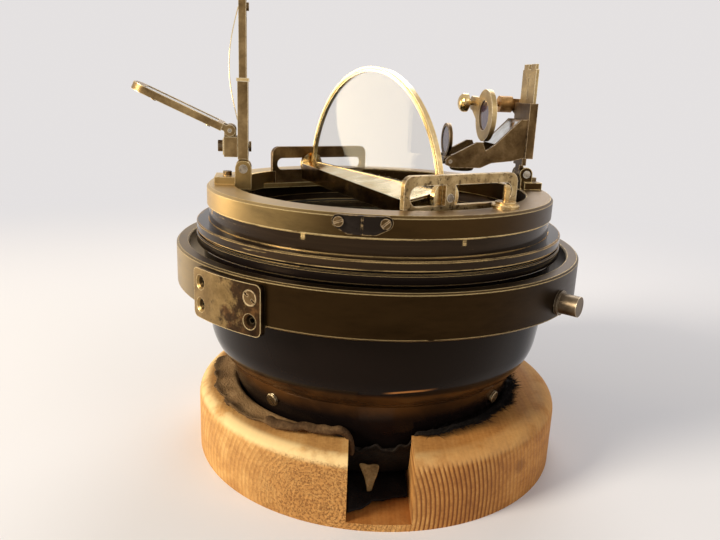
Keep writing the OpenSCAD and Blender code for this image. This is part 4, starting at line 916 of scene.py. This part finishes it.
f.t.links.new(f.b.outputs[0], blend.inputs[1])
f.t.links.new(glow.outputs[0], blend.inputs[2])
f.t.links.new(blend.outputs[0], f.t.nodes["Material Output"].inputs["Surface"])

world = bpy.data.worlds.new("world")
scene.world = world
world.use_nodes = True
wt = world.node_tree
wt.nodes.clear()
out = wt.nodes.new("ShaderNodeOutputWorld")
mixer = wt.nodes.new("ShaderNodeMixShader")
soft = wt.nodes.new("ShaderNodeBackground")
pale = wt.nodes.new("ShaderNodeBackground")
soft.inputs["Color"].default_value = (0.80, 0.80, 0.82, 1)
soft.inputs["Strength"].default_value = 0.42
pale.inputs["Color"].default_value = (*PALE, 1)
pale.inputs["Strength"].default_value = 1.0
rays = wt.nodes.new("ShaderNodeLightPath")
either = wt.nodes.new("ShaderNodeMath"); either.operation = "MAXIMUM"
any_of = wt.nodes.new("ShaderNodeMath"); any_of.operation = "MAXIMUM"
wt.links.new(rays.outputs["Is Camera Ray"], either.inputs[0])
wt.links.new(rays.outputs["Is Transmission Ray"], either.inputs[1])
wt.links.new(either.outputs[0], any_of.inputs[0])
wt.links.new(rays.outputs["Is Glossy Ray"], any_of.inputs[1])
wt.links.new(any_of.outputs[0], mixer.inputs[0])
wt.links.new(soft.outputs[0], mixer.inputs[1])
wt.links.new(pale.outputs[0], mixer.inputs[2])
wt.links.new(mixer.outputs[0], out.inputs[0])


def lamp(name, at, look_at, size, power, colour=(1, 1, 1)):
    data = bpy.data.lights.new(name, "AREA")
    data.shape = "DISK"
    data.size = size
    data.energy = power
    data.color = colour
    o = bpy.data.objects.new(name, data)
    o.location = at
    o.rotation_euler = (Vector(look_at) - Vector(at)).to_track_quat("-Z", "Y").to_euler()
    scene.collection.objects.link(o)


# The key stands at the left front. A second, low lamp shows in the half-round glass
lamp("key", (-1.90, -1.10, 1.14), (0, 0, 0.1), 0.80, 66, (1.0, 0.93, 0.80))
lamp("side", (-1.02, 0.36, 0.17), (0, 0, 0.18), 0.42, 3.2, (1.0, 0.82, 0.50))
lamp("fill", (0.9, -0.8, 0.8), (0, 0, 0.1), 0.9, 3.5)
lamp("back", (0.2, 0.9, 0.9), (0, 0, 0.12), 0.7, 6)
